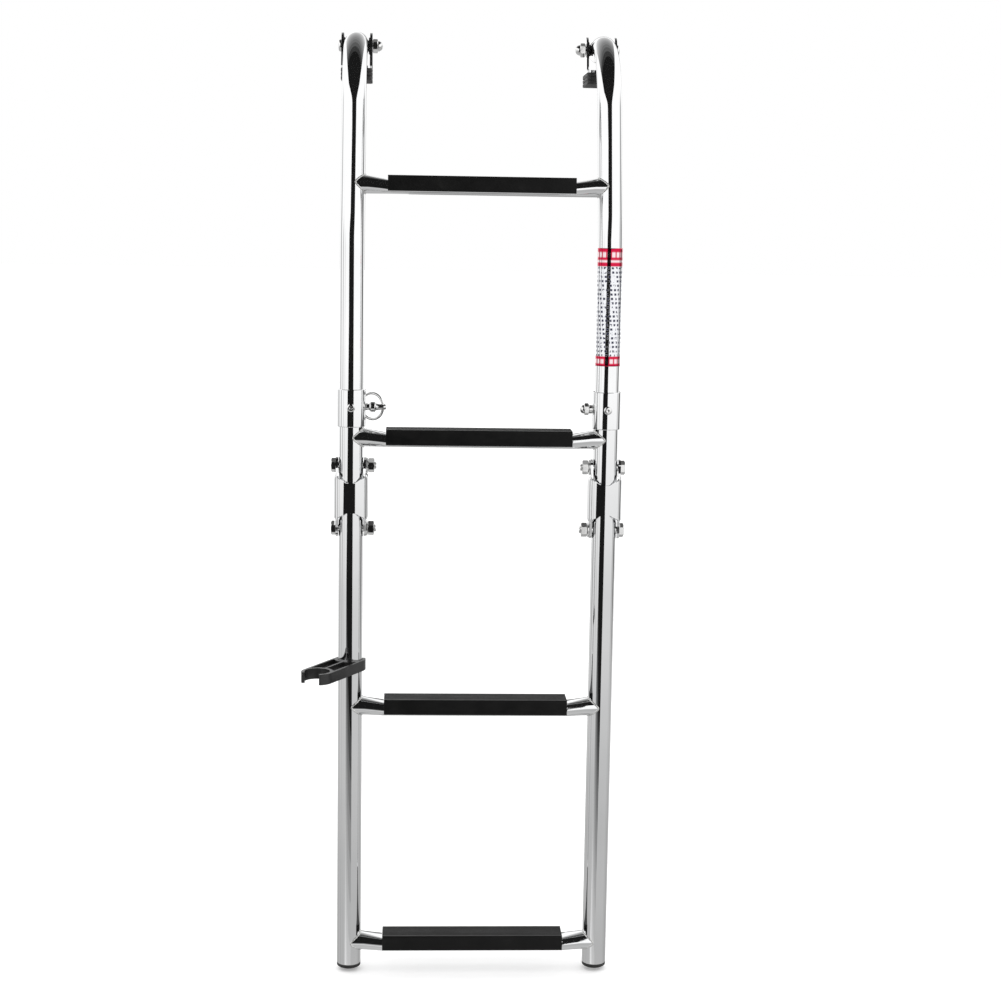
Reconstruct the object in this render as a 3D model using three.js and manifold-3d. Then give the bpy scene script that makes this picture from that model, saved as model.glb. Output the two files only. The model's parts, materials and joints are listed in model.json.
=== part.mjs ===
// Folding boat boarding ladder: two hinged sections of polished stainless tube with rubber treads,
// hung from a pair of deck brackets.
// Millimetres, +Z up, +X to the right, -Y outboard. The origin is on the deck, midway between the
// brackets and under their pivot bolts. The ladder is modelled hanging straight down, unfolded.
import * as THREE from 'three';
import { mergeVertices } from 'three/addons/utils/BufferGeometryUtils.js';
import Module from 'manifold-3d';

const wasm = await Module();
wasm.setup();

// ---- driving dimensions -------------------------------------------------------------------------
const GAP = 0.3; // running gap between pieces that touch
const THROUGH = 30; // reach of a drill that passes right through a rail, from its axis
const SIDES = [['left', -1], ['right', 1]];

const RAIL_SPACING = 265; // between rail axes
const TUBE_R = 12.7;
const TUBE_WALL = 1.2;
const TUBE_FACETS = 16;

const PIVOT_Z = 38; // bracket bolt above the deck
const REACH = 150; // bracket bolt to the plane of the straight rails
const RAIL_REAR_END = 15; // rail carried past the bracket bolt
const TOP_RUN = 22; // level run from the bolt to the main bend
const BEND_R = 92;
const LEAN = THREE.MathUtils.degToRad(15.6); // rail under the main bend leans back by this much
const EASE_R = 200; // gentle bend from the lean to the vertical

const HINGE_TOP_Z = -401; // upper hinge bolts
const HINGE_PITCH = 66; // upper to lower hinge bolts
const RAIL_PAST_BOLT = 25; // rail end beyond its hinge bolt
const FOOT_RIM_Z = -940.3;
const TREAD_TOPS = [-103, -362.4, -647.7, -907];

const COLLAR = { top: -321.5, height: 38.9, r: 14.85 };
const COLLAR_PIN_Z = COLLAR.top - 18.5;
const RAIL_JOINT_Z = COLLAR.top - 3.5; // top rail ends here, inside the collar

const RUNG = { endW: 25, endH: 19.4, midW: 26, midH: 15, wall: 1.2, belowTread: 19.2, bevel: 23 };
const TREAD = { halfLength: 96.5, depth: 32, height: 16, corner: 2 };

const BOLT_R = 4;
const HEX_R = 7.5; // across corners, halved
const HEX_HEAD_H = 4.8;
const HINGE_BOLT_END = 26.3; // from the rail axis
const NUT_H = 6.5;
const WASHER = { r: 8, t: 1.6 };
const BUTTON = { r: 6.5, h: 3.3, socketR: 2.6, socketDepth: 1.8 };
const BUSH = { sleeveR: 6, flangeR: 9 };
const PLUG = { stem: 6, head: 2 };
const FOOT = { stem: 12, dome: 6 };

const CHANNEL = { earIn: 13.5, earOut: 15.5, earR: 8.8, shellHalf: 17.7, flatHalf: 5, front: 15.7,
  t: 2.4, sideHalf: 21.75, webHalf: 15.7, back: 8.8 };

const BRACKET = { earIn: 14.2, earOut: 16.6, earR: 14, footHalf: 20, plateHalf: 32, plateT: 2.5,
  padT: 12, holeY: 26, holeR: 3.2, cornerR: 5 };

const CLIP = { z: -612.3, height: 11.2, inR: TUBE_R + 0.35, wall: 3.3, sideT: 2.4, ribHalf: 1.2,
  webHalf: 1.4, mouthHalf: 9.5, lipR: 2.4, angle: THREE.MathUtils.degToRad(241) };

const PIN = { r: 3, hubR: 5.4, tipR: 2.9, tipX: 32 }; // tipX from the rail axis, inwards
const RING = { r: 13.5, wireR: 1.2, holeR: 1.9, angle: THREE.MathUtils.degToRad(32) };
const LOCK_BOLT = { shoulderR: 4.6, shoulderH: 3.2, nutR: 6.3, nutDepth: 5.2 };
const COLLAR_SCREW = { r: 2.3, headR: 4.2, headH: 2.2, socketR: 1.7, socketDepth: 1.3, length: 5 };

const LABEL = { top: -173.4, height: 121, t: 0.25, halfAngle: THREE.MathUtils.degToRad(100) };

// ---- finishes -----------------------------------------------------------------------------------
const finish = (color, roughness, metalness) =>
  new THREE.MeshStandardMaterial({ color, roughness, metalness });
const POLISHED = finish(0xd9dbdd, 0.08, 1);
const HARDWARE = finish(0xc2c4c6, 0.25, 1);
const RUBBER = finish(0x17181a, 0.75, 0);
const PLASTIC = finish(0x1c1d1f, 0.45, 0);
const NYLON = finish(0x26272a, 0.5, 0);
const FILM = finish(0xe9e6e6, 0.3, 0);

// ---- solid helpers ------------------------------------------------------------------------------
function solid(geometry) {
  const bare = geometry.clone();
  bare.deleteAttribute('normal');
  bare.deleteAttribute('uv');
  const merged = mergeVertices(bare, 1e-4);
  return new wasm.Manifold(new wasm.Mesh({
    numProp: 3,
    vertProperties: new Float32Array(merged.attributes.position.array),
    triVerts: new Uint32Array(merged.index.array),
  }));
}

function geometryOf(manifold) {
  const mesh = manifold.getMesh();
  const geometry = new THREE.BufferGeometry();
  geometry.setAttribute('position', new THREE.BufferAttribute(mesh.vertProperties, 3));
  geometry.setIndex(new THREE.BufferAttribute(mesh.triVerts, 1));
  geometry.computeVertexNormals();
  return geometry;
}

const join = (...solids) => solids.reduce((a, b) => a.add(b));
const cut = (body, ...tools) => tools.reduce((a, b) => a.subtract(b), body);

// A round bar along X, Y or Z, from one end to the other, its axis passing through `at`.
function rod(axis, r, from, to, at = [0, 0, 0], facets = 12) {
  const geometry = new THREE.CylinderGeometry(r, r, to - from, facets);
  geometry.translate(0, (from + to) / 2, 0);
  if (axis === 'x') geometry.rotateZ(-Math.PI / 2);
  if (axis === 'z') geometry.rotateX(Math.PI / 2);
  geometry.translate(...at);
  return solid(geometry);
}

const hexBar = (r, from, to) => rod('x', r, from, to, [0, 0, 0], 6);

// A profile of [radius, distance] points turned about X, positive distance towards `way`.
function turned(profile, way, facets = 12) {
  const points = profile.map(([r, d]) => new THREE.Vector2(r, d));
  const geometry = new THREE.LatheGeometry(points, facets);
  geometry.rotateZ(way > 0 ? -Math.PI / 2 : Math.PI / 2);
  return solid(geometry);
}

function block(x0, x1, y0, y1, z0, z1) {
  const geometry = new THREE.BoxGeometry(x1 - x0, y1 - y0, z1 - z0);
  geometry.translate((x0 + x1) / 2, (y0 + y1) / 2, (z0 + z1) / 2);
  return solid(geometry);
}

// A flat outline in X and Y, raised from z0 to z1.
function raised(shape, z0, z1, curveSegments = 6) {
  const geometry = new THREE.ExtrudeGeometry(shape, { depth: z1 - z0, bevelEnabled: false, curveSegments });
  geometry.translate(0, 0, z0);
  return solid(geometry);
}

// An outline in Y and Z, spread from x0 to x1.
function spread(shape, x0, x1, curveSegments = 6) {
  const geometry = new THREE.ExtrudeGeometry(shape, { depth: x1 - x0, bevelEnabled: false, curveSegments });
  geometry.rotateX(Math.PI / 2);
  geometry.rotateZ(Math.PI / 2);
  geometry.translate(x0, 0, 0);
  return solid(geometry);
}

function roundedRectangle(halfX, halfY, r) {
  const shape = new THREE.Shape();
  shape.absarc(halfX - r, halfY - r, r, 0, Math.PI / 2);
  shape.absarc(r - halfX, halfY - r, r, Math.PI / 2, Math.PI);
  shape.absarc(r - halfX, r - halfY, r, Math.PI, Math.PI * 1.5);
  shape.absarc(halfX - r, r - halfY, r, Math.PI * 1.5, Math.PI * 2);
  shape.closePath();
  return shape;
}

function ringShape(outer, inner) {
  const shape = new THREE.Shape();
  shape.absarc(0, 0, outer, 0, Math.PI * 2);
  const hole = new THREE.Path();
  hole.absarc(0, 0, inner, 0, Math.PI * 2);
  shape.holes.push(hole);
  return shape;
}

// An upright length of rail tube, in the frame of its own axis.
function straightTube(top, bottom, outer = TUBE_R, inner = TUBE_R - TUBE_WALL) {
  return raised(ringShape(outer, inner), bottom, top, TUBE_FACETS / 2);
}

// ---- the bent rail's centre line ----------------------------------------------------------------
// It runs from its rear end over the deck edge and down to the collar, in the plane x = 0.
const BEND_TURN = Math.PI / 2 - LEAN;
const BEND_END = {
  y: -TOP_RUN - BEND_R * Math.sin(BEND_TURN),
  z: PIVOT_Z - BEND_R * (1 - Math.cos(BEND_TURN)),
};
const EASE_Y = -REACH + EASE_R * (1 - Math.cos(LEAN));
const LEAN_LENGTH = (BEND_END.y - EASE_Y) / Math.sin(LEAN);
const EASE_Z = BEND_END.z - LEAN_LENGTH * Math.cos(LEAN);
const STRAIGHT_Z = EASE_Z - EASE_R * Math.sin(LEAN);

// Each station is a point and the heading there, as the angle turned from level towards down.
function railStations() {
  const stations = [[RAIL_REAR_END, PIVOT_Z, 0]];
  const bendSteps = 8;
  for (let i = 0; i <= bendSteps; i += 1) {
    const turn = (BEND_TURN * i) / bendSteps;
    stations.push([-TOP_RUN - BEND_R * Math.sin(turn), PIVOT_Z - BEND_R * (1 - Math.cos(turn)), turn]);
  }
  const easeSteps = 3;
  for (let i = 0; i <= easeSteps; i += 1) {
    const lean = LEAN * (1 - i / easeSteps);
    stations.push([
      -REACH + EASE_R * (1 - Math.cos(lean)),
      STRAIGHT_Z + EASE_R * Math.sin(lean),
      Math.PI / 2 - lean,
    ]);
  }
  stations.push([-REACH, RAIL_JOINT_Z, Math.PI / 2]);
  return stations;
}

class RailCurve extends THREE.Curve {
  constructor() {
    super();
    this.stations = railStations();
  }

  station(u) {
    return this.stations[Math.round(u * (this.stations.length - 1))];
  }

  getPointAt(u) {
    const [y, z] = this.station(u);
    return new THREE.Vector3(0, y, z);
  }

  getTangentAt(u) {
    const turn = this.station(u)[2];
    return new THREE.Vector3(0, -Math.cos(turn), -Math.sin(turn));
  }
}

function bentTube(outer, inner) {
  const curve = new RailCurve();
  const geometry = new THREE.ExtrudeGeometry(ringShape(outer, inner), {
    steps: curve.stations.length - 1,
    bevelEnabled: false,
    curveSegments: TUBE_FACETS / 2,
    extrudePath: curve,
  });
  return solid(geometry);
}

// Where the leaning part of the rail is, at height z.
const leanY = (z) => BEND_END.y - (BEND_END.z - z) * Math.tan(LEAN);

// ---- rungs and treads ---------------------------------------------------------------------------
// A rung is a round tube pressed flat along its middle; its underside stays straight.
function rungLoft(inset, halfLength) {
  const around = 12;
  const flat = TREAD.halfLength + 1;
  const stations = [-halfLength, -flat - RUNG.bevel, -flat, flat, flat + RUNG.bevel, halfLength];
  const positions = [];
  const index = [];
  stations.forEach((x, i) => {
    const pressed = i === 2 || i === 3;
    const w = (pressed ? RUNG.midW : RUNG.endW) - 2 * inset;
    const h = (pressed ? RUNG.midH : RUNG.endH) - 2 * inset;
    for (let k = 0; k < around; k += 1) {
      const a = ((k + 0.5) / around) * Math.PI * 2;
      const side = (Math.sign(Math.cos(a)) * (w - h)) / 2;
      positions.push(x, (h / 2) * Math.cos(a) + side, inset + h / 2 + (h / 2) * Math.sin(a));
    }
  });
  for (let i = 0; i < stations.length - 1; i += 1) {
    for (let k = 0; k < around; k += 1) {
      const a = i * around + k;
      const b = i * around + ((k + 1) % around);
      index.push(a, b, b + around, a, b + around, a + around);
    }
  }
  const last = (stations.length - 1) * around;
  for (let k = 1; k < around - 1; k += 1) {
    index.push(0, k + 1, k, last, last + k, last + k + 1);
  }
  const geometry = new THREE.BufferGeometry();
  geometry.setAttribute('position', new THREE.Float32BufferAttribute(positions, 3));
  geometry.setIndex(index);
  return geometry;
}

// Tube coped to the rails, which lean back by `lean` where the rung meets them.
function rungGeometry(lean) {
  const half = RAIL_SPACING / 2;
  const rail = new THREE.CylinderGeometry(TUBE_R + GAP, TUBE_R + GAP, 80, TUBE_FACETS);
  rail.rotateX(Math.PI / 2 - lean);
  rail.translate(half, 0, RUNG.endH / 2);
  const railRight = solid(rail);
  const railLeft = solid(rail.clone().translate(-RAIL_SPACING, 0, 0));
  const outer = solid(rungLoft(0, half - 6));
  const inner = solid(rungLoft(RUNG.wall, half));
  return geometryOf(cut(outer, inner, railLeft, railRight));
}

// Rubber channel pressed over the rung's flat: open below, its lips tucked under the tube.
function treadGeometry() {
  const half = TREAD.depth / 2;
  const outline = new THREE.Shape();
  const bottom = RUNG.belowTread - TREAD.height;
  outline.moveTo(-half, bottom);
  outline.lineTo(half, bottom);
  outline.absarc(half - TREAD.corner, RUNG.belowTread - TREAD.corner, TREAD.corner, 0, Math.PI / 2);
  outline.absarc(TREAD.corner - half, RUNG.belowTread - TREAD.corner, TREAD.corner, Math.PI / 2, Math.PI);
  outline.closePath();
  const body = spread(outline, -TREAD.halfLength, TREAD.halfLength, 3);
  return geometryOf(cut(body, solid(rungLoft(-GAP, RAIL_SPACING / 2 - 30))));
}

// ---- the hinge channel --------------------------------------------------------------------------
// Two ears and a wrap-round web in front that stops the rails from folding backwards.
function channelGeometry() {
  const c = CHANNEL;
  const corner = c.shellHalf - c.flatHalf;
  const section = (inset) => {
    const r = corner - inset;
    const shape = new THREE.Shape();
    shape.moveTo(c.shellHalf - inset, c.back + inset);
    shape.lineTo(inset - c.shellHalf, c.back + inset);
    shape.absarc(-c.flatHalf, corner - c.front, r, Math.PI, Math.PI * 1.5);
    shape.absarc(c.flatHalf, corner - c.front, r, Math.PI * 1.5, Math.PI * 2);
    shape.closePath();
    return shape;
  };
  const shell = cut(
    raised(section(0), -c.sideHalf, c.sideHalf, 4),
    raised(section(c.t), -50, 50, 4),
    ...[-1, 1].map((way) => {
      const r = (c.shellHalf ** 2 + (c.sideHalf - c.webHalf) ** 2) / (2 * (c.sideHalf - c.webHalf));
      return rod('y', r, -40, 0, [0, 0, way * (c.webHalf + r)], 32);
    }),
  );
  const ears = [-1, 1].map((side) => {
    const ear = new THREE.Shape();
    ear.absarc(0, HINGE_PITCH / 2, c.earR, 0, Math.PI);
    ear.absarc(0, -HINGE_PITCH / 2, c.earR, Math.PI, Math.PI * 2);
    ear.closePath();
    const x = side > 0 ? c.earIn : -c.earOut;
    return spread(ear, x, x + c.earOut - c.earIn, 6);
  });
  const holes = [-1, 1].map((way) =>
    rod('x', BOLT_R + GAP, -THROUGH, THROUGH, [0, 0, (way * HINGE_PITCH) / 2]));
  return geometryOf(cut(join(shell, ...ears), ...holes));
}

// ---- fasteners, in a frame whose X points from the head to the nut -------------------------------
function hexBolt(headAt, shaftEnd) {
  return geometryOf(join(
    hexBar(HEX_R, headAt - HEX_HEAD_H, headAt),
    rod('x', BOLT_R, headAt - 1, shaftEnd),
  ));
}

function buttonBolt(headAt, shaftEnd) {
  const { r, h, socketR, socketDepth } = BUTTON;
  const crown = [[r, 0], [r * 0.97, h * 0.45], [r * 0.74, h * 0.85], [r * 0.46, h]];
  const head = turned([[0, 0], ...crown, [0, h]], -1);
  return geometryOf(cut(
    join(head.translate([headAt, 0, 0]), rod('x', BOLT_R, headAt - 1, shaftEnd)),
    hexBar(socketR, headAt - h - 1, headAt - h + socketDepth),
  ));
}

function hexNut(at) {
  return geometryOf(cut(hexBar(HEX_R, at, at + NUT_H), rod('x', BOLT_R + GAP, at - 1, at + NUT_H + 1)));
}

function collarScrewGeometry() {
  const { r, headR, headH, socketR, socketDepth, length } = COLLAR_SCREW;
  const crown = [[headR, 0], [headR, headH * 0.45], [headR * 0.7, headH * 0.86]];
  const head = turned([[0, 0], ...crown, [0, headH]], -1);
  return geometryOf(cut(
    join(head, rod('x', r, -0.5, length)),
    hexBar(socketR, -headH - 1, socketDepth - headH),
  ));
}

// Closed nut with a domed end; the bolt stops inside it.
function domedNut(at, r = HEX_R, bore = BOLT_R + GAP, depth = 8) {
  const base = r * 0.75;
  const dome = r * 0.84;
  const profile = [[0, base - 1], [dome, base - 1], [dome, base + 0.6]];
  for (let i = 1; i < 5; i += 1) {
    const a = (i / 5) * (Math.PI / 2);
    profile.push([dome * Math.cos(a), base + 0.6 + dome * 0.75 * Math.sin(a)]);
  }
  profile.push([0, base + 0.6 + dome * 0.75]);
  const body = join(hexBar(r, 0, base), turned(profile, 1));
  return geometryOf(cut(body, rod('x', bore, -1, depth)).translate([at, 0, 0]));
}

function washerGeometry(at) {
  return geometryOf(cut(
    rod('x', WASHER.r, at, at + WASHER.t),
    rod('x', BOLT_R + GAP, at - 1, at + WASHER.t + 1),
  ));
}

// ---- small mouldings ----------------------------------------------------------------------------
// Plug for an open tube end, its face towards +Z and its stem inside the tube.
function plugGeometry() {
  const stemR = TUBE_R - TUBE_WALL - GAP;
  const chamfer = 0.4;
  return lathedUp([[0, -PLUG.stem], [stemR, -PLUG.stem], [stemR, GAP], [TUBE_R, GAP],
    [TUBE_R - chamfer * 0.75, PLUG.head - chamfer], [TUBE_R - chamfer * 3, PLUG.head], [0, PLUG.head]]);
}

function footCapGeometry() {
  const stemR = TUBE_R - TUBE_WALL - GAP;
  const rim = FOOT.dome * 0.3;
  const points = [[0, -FOOT.stem], [stemR, -FOOT.stem], [stemR, GAP], [TUBE_R, GAP]];
  const steps = 4;
  for (let i = 0; i <= steps; i += 1) {
    const a = (i / steps) * (Math.PI / 2);
    points.push([TUBE_R * Math.cos(a), rim + (FOOT.dome - rim) * Math.sin(a)]);
  }
  return lathedUp(points);
}

function lathedUp(points) {
  const geometry = new THREE.LatheGeometry(points.map((p) => new THREE.Vector2(...p)), TUBE_FACETS);
  geometry.rotateX(Math.PI / 2);
  return geometryOf(solid(geometry));
}

// Flanged bush between a bracket ear and the rail, its sleeve in the rail's wall.
function bushGeometry() {
  const flange = TUBE_R + GAP;
  const face = BRACKET.earIn - GAP;
  const body = join(
    rod('x', BUSH.flangeR, flange, face),
    rod('x', BUSH.sleeveR, TUBE_R - TUBE_WALL - 1, flange + 0.5),
  );
  return geometryOf(cut(body, rod('x', BOLT_R + GAP, 0, THROUGH)));
}

// Two C-shaped grips on one straight-sided body with a pair of pockets in both faces: one grip turns
// on its rail, the other snaps over a rail beside it.
function clipGeometry() {
  const reach = HINGE_PITCH;
  const outer = CLIP.inR + CLIP.wall;
  const side = outer - 0.15;
  const half = CLIP.height / 2;
  const inner = (x) => rod('z', CLIP.inR, -20, 20, [x, 0, 0], 24);
  const mouth = CLIP.mouthHalf + CLIP.lipR / 3;
  const lipX = Math.sqrt((CLIP.inR + CLIP.wall / 2) ** 2 - mouth ** 2);
  const lip = (x, y) => rod('z', CLIP.lipR, -half, half, [x, y, 0], 12);
  const grip = (x) => rod('z', outer, -half, half, [x, 0, 0], 24);
  const pocket = (y0, y1) => cut(
    block(11, reach - 11, y0, y1, -20, 20),
    grip(0),
    grip(reach),
    block(0, reach, -side, side, -CLIP.webHalf, CLIP.webHalf),
  );
  const body = cut(
    join(grip(0), grip(reach), block(0, reach, -side, side, -half, half)),
    pocket(CLIP.ribHalf, side - CLIP.sideT),
    pocket(CLIP.sideT - side, -CLIP.ribHalf),
  );
  const opened = cut(
    body,
    inner(0),
    inner(reach),
    block(-THROUGH, 0, -mouth, mouth, -20, 20),
    block(reach, reach + THROUGH, -mouth, mouth, -20, 20),
  );
  const lipY = CLIP.mouthHalf + CLIP.lipR * 0.6;
  const lips = [-lipY, lipY].flatMap((y) => [lip(-lipX, y), lip(reach + lipX, y)]);
  return geometryOf(cut(join(opened, ...lips), inner(0), inner(reach)));
}

// ---- deck bracket -------------------------------------------------------------------------------
function bracketGeometry() {
  const b = BRACKET;
  const plateTop = b.padT + GAP + b.plateT;
  const ear = new THREE.Shape();
  ear.moveTo(-b.footHalf, b.padT + GAP);
  ear.lineTo(b.footHalf, b.padT + GAP);
  ear.lineTo(b.footHalf, plateTop + 2);
  ear.absarc(0, PIVOT_Z, b.earR, 0, Math.PI);
  ear.lineTo(-b.footHalf, plateTop + 2);
  ear.closePath();
  const ears = [-b.earOut, b.earIn].map((x) => spread(ear, x, x + b.earOut - b.earIn, 6));
  const plate = raised(roundedRectangle(b.earOut, b.plateHalf, b.cornerR), b.padT + GAP, plateTop);
  return geometryOf(cut(
    join(plate, ...ears),
    rod('x', BOLT_R + GAP, -THROUGH, THROUGH, [0, 0, PIVOT_Z]),
    ...[-1, 1].map((way) => rod('z', b.holeR, 0, 40, [0, way * b.holeY, 0], 8)),
  ));
}

function padGeometry() {
  const b = BRACKET;
  const body = raised(roundedRectangle(b.earOut, b.plateHalf, b.cornerR), 0, b.padT);
  const holes = [-1, 1].map((way) => rod('z', b.holeR, -1, 40, [0, way * b.holeY, 0], 8));
  return geometryOf(cut(body, ...holes));
}

// ---- assembly -----------------------------------------------------------------------------------
const ladder = new THREE.Group();

function place(parent, name, geometry, material, x = 0, y = 0, z = 0) {
  const mesh = new THREE.Mesh(geometry, material.clone());
  mesh.name = name;
  mesh.position.set(x, y, z);
  parent.add(mesh);
  return mesh;
}

// Fasteners are drawn with their heads outboard of the left rail; the right-hand ones are turned round.
function faced(mesh, side) {
  if (side > 0) mesh.rotation.z = Math.PI;
  return mesh;
}

function buildUpperRail(parent, label, side) {
  const bushHole = rod('x', BUSH.sleeveR + GAP, -THROUGH, THROUGH, [0, 0, PIVOT_Z], 16);
  place(parent, `${label}_top_rail`,
    geometryOf(cut(bentTube(TUBE_R, TUBE_R - TUBE_WALL), bushHole)), POLISHED);
  const plug = place(parent, `${label}_rail_rear_plug`, plugGeometry(), PLASTIC,
    0, RAIL_REAR_END, PIVOT_Z);
  plug.rotation.x = -Math.PI / 2;
  ['outer', 'inner'].forEach((where, i) => {
    const bush = place(parent, `${label}_${where}_pivot_bush`, bushGeometry(), NYLON, 0, 0, PIVOT_Z);
    if ((i === 0) === (side < 0)) bush.rotation.z = Math.PI;
  });
}

function buildMidRail(parent, label, side) {
  const bottom = HINGE_TOP_Z - RAIL_PAST_BOLT;
  const pinHole = rod('x', PIN.r + GAP, -THROUGH, THROUGH, [0, 0, COLLAR_PIN_Z]);
  const screwHole = rod('y', COLLAR_SCREW.r + GAP, -THROUGH, 0, [0, 0, COLLAR_PIN_Z]);
  const tube = cut(
    straightTube(RAIL_JOINT_Z - GAP, bottom),
    rod('x', BOLT_R + GAP, -THROUGH, THROUGH, [0, 0, HINGE_TOP_Z]),
    pinHole,
    screwHole,
  );
  place(parent, `${label}_mid_rail`, geometryOf(tube), POLISHED, 0, -REACH);
  const plug = place(parent, `${label}_mid_rail_plug`, plugGeometry(), PLASTIC, 0, -REACH, bottom);
  plug.rotation.x = Math.PI;
  const collar = straightTube(COLLAR.top, COLLAR.top - COLLAR.height, COLLAR.r, TUBE_R + GAP);
  const innerHole = rod('x', PIN.r + GAP, side < 0 ? 0 : -THROUGH, side < 0 ? THROUGH : 0,
    [0, 0, COLLAR_PIN_Z]);
  place(parent, `${label}_collar`, geometryOf(cut(collar, innerHole, screwHole)), POLISHED, 0, -REACH);
  const screw = place(parent, `${label}_collar_screw`, collarScrewGeometry(), HARDWARE,
    0, -REACH - COLLAR.r - GAP, COLLAR_PIN_Z);
  screw.rotation.z = Math.PI / 2;
}

function buildHinge(parent, label, side) {
  const middle = HINGE_TOP_Z - HINGE_PITCH / 2;
  place(parent, `${label}_hinge_channel`, channelGeometry(), POLISHED, 0, -REACH, middle);
  const face = CHANNEL.earOut + GAP;
  const levels = [['upper', HINGE_TOP_Z], ['lower', HINGE_TOP_Z - HINGE_PITCH]];
  for (const [level, z] of levels) {
    const name = `${label}_${level}_hinge`;
    faced(place(parent, `${name}_bolt`, hexBolt(-face, HINGE_BOLT_END), HARDWARE, 0, -REACH, z), side);
    faced(place(parent, `${name}_washer`, washerGeometry(face), HARDWARE, 0, -REACH, z), side);
    const nut = hexNut(face + WASHER.t + GAP);
    faced(place(parent, `${name}_nut`, nut, HARDWARE, 0, -REACH, z), side);
  }
}

function buildLowerRail(parent, label) {
  const boltZ = HINGE_TOP_Z - HINGE_PITCH;
  const top = boltZ + RAIL_PAST_BOLT;
  const tube = cut(straightTube(top, FOOT_RIM_Z), rod('x', BOLT_R + GAP, -30, 30, [0, 0, boltZ]));
  place(parent, `${label}_lower_rail`, geometryOf(tube), POLISHED, 0, -REACH);
  place(parent, `${label}_lower_rail_plug`, plugGeometry(), PLASTIC, 0, -REACH, top);
  const cap = place(parent, `${label}_foot_cap`, footCapGeometry(), RUBBER, 0, -REACH, FOOT_RIM_Z);
  cap.rotation.x = Math.PI;
}

function buildBracket(parent, label, side) {
  place(parent, `${label}_deck_bracket`, bracketGeometry(), POLISHED);
  place(parent, `${label}_deck_pad`, padGeometry(), RUBBER);
  const face = BRACKET.earOut + GAP;
  faced(place(parent, `${label}_pivot_bolt`, buttonBolt(-face, face + 6), HARDWARE, 0, 0, PIVOT_Z), side);
  faced(place(parent, `${label}_pivot_nut`, domedNut(face), HARDWARE, 0, 0, PIVOT_Z), side);
}

for (const [label, side] of SIDES) {
  const rails = new THREE.Group();
  rails.position.x = (side * RAIL_SPACING) / 2;
  ladder.add(rails);
  buildUpperRail(rails, label, side);
  buildMidRail(rails, label, side);
  buildHinge(rails, label, side);
  buildLowerRail(rails, label);
  buildBracket(rails, label, side);
}

TREAD_TOPS.forEach((top, i) => {
  const bottom = top - RUNG.belowTread;
  const onLean = i === 0;
  const y = onLean ? leanY(bottom + RUNG.endH / 2) : -REACH;
  place(ladder, `rung_${i + 1}`, rungGeometry(onLean ? LEAN : 0), POLISHED, 0, y, bottom);
  place(ladder, `tread_${i + 1}`, treadGeometry(), RUBBER, 0, y, bottom);
});

// Ring pin through the left collar, drawn in from the middle of the ladder.
const RING_HOLE_X = PIN.tipX + 0.6;

function ringPinGeometry() {
  const wall = COLLAR.r + GAP;
  const hub = turned([[0, wall], [3.8, wall], [PIN.hubR, wall + 5], [PIN.hubR, wall + 9],
    [3.4, wall + 12.5], [PIN.tipR, PIN.tipX - 1], [PIN.tipR, PIN.tipX + 3.4], [0, PIN.tipX + 4]], 1);
  const shaft = rod('x', PIN.r, -TUBE_R + 0.6, wall + 1);
  return geometryOf(cut(join(shaft, hub), rod('z', RING.holeR, -10, 10, [RING_HOLE_X, 0, 0])));
}

function ringGeometry() {
  const geometry = new THREE.TorusGeometry(RING.r, RING.wireR, 6, 22);
  geometry.rotateX(Math.PI / 2);
  geometry.translate(-RING.r, 0, 0);
  return geometryOf(solid(geometry));
}

const leftX = -RAIL_SPACING / 2;
place(ladder, 'left_ring_pin', ringPinGeometry(), HARDWARE, leftX, -REACH, COLLAR_PIN_Z);
const ring = place(ladder, 'pull_ring', ringGeometry(), HARDWARE,
  leftX + RING_HOLE_X, -REACH, COLLAR_PIN_Z);
ring.rotation.z = -RING.angle;

// The right collar's cross bolt: a collared stud with a domed nut, no ring.
function lockBoltGeometry() {
  const wall = COLLAR.r + GAP;
  return geometryOf(join(
    rod('x', PIN.r, -TUBE_R + 0.6, wall + 8),
    rod('x', LOCK_BOLT.shoulderR, wall, wall + LOCK_BOLT.shoulderH),
  ));
}

const rightX = RAIL_SPACING / 2;
const lockNutAt = COLLAR.r + GAP + LOCK_BOLT.shoulderH + GAP;
const lockNut = domedNut(lockNutAt, LOCK_BOLT.nutR, PIN.r + GAP, LOCK_BOLT.nutDepth);
place(ladder, 'right_lock_bolt', lockBoltGeometry(), HARDWARE, rightX, -REACH, COLLAR_PIN_Z)
  .rotation.z = Math.PI;
place(ladder, 'right_lock_nut', lockNut, HARDWARE, rightX, -REACH, COLLAR_PIN_Z)
  .rotation.z = Math.PI;

const clip = place(ladder, 'rail_clip', clipGeometry(), PLASTIC, leftX, -REACH, CLIP.z);
clip.rotation.z = CLIP.angle;

// Blank printed film wrapped round the front of the right top rail.
function labelGeometry() {
  const inner = TUBE_R + GAP;
  const from = -Math.PI / 2 - LABEL.halfAngle;
  const to = -Math.PI / 2 + LABEL.halfAngle;
  const shape = new THREE.Shape();
  shape.absarc(0, 0, inner + LABEL.t, from, to);
  shape.absarc(0, 0, inner, to, from, true);
  shape.closePath();
  return geometryOf(raised(shape, LABEL.top - LABEL.height, LABEL.top, 9));
}
place(ladder, 'blank_label', labelGeometry(), FILM, rightX, -REACH, 0);

export default ladder;
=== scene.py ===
# Looks of the folding boat boarding ladder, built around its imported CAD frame. A fine mesh stands in
# for every CAD node, and the rungs get weld beads besides. Shapes are drawn in millimetres in a frame
# of their own and placed by matrices in metres; places come from the frame's boxes.
import json
import math

import bmesh
import bpy
from mathutils import Matrix, Vector


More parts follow.
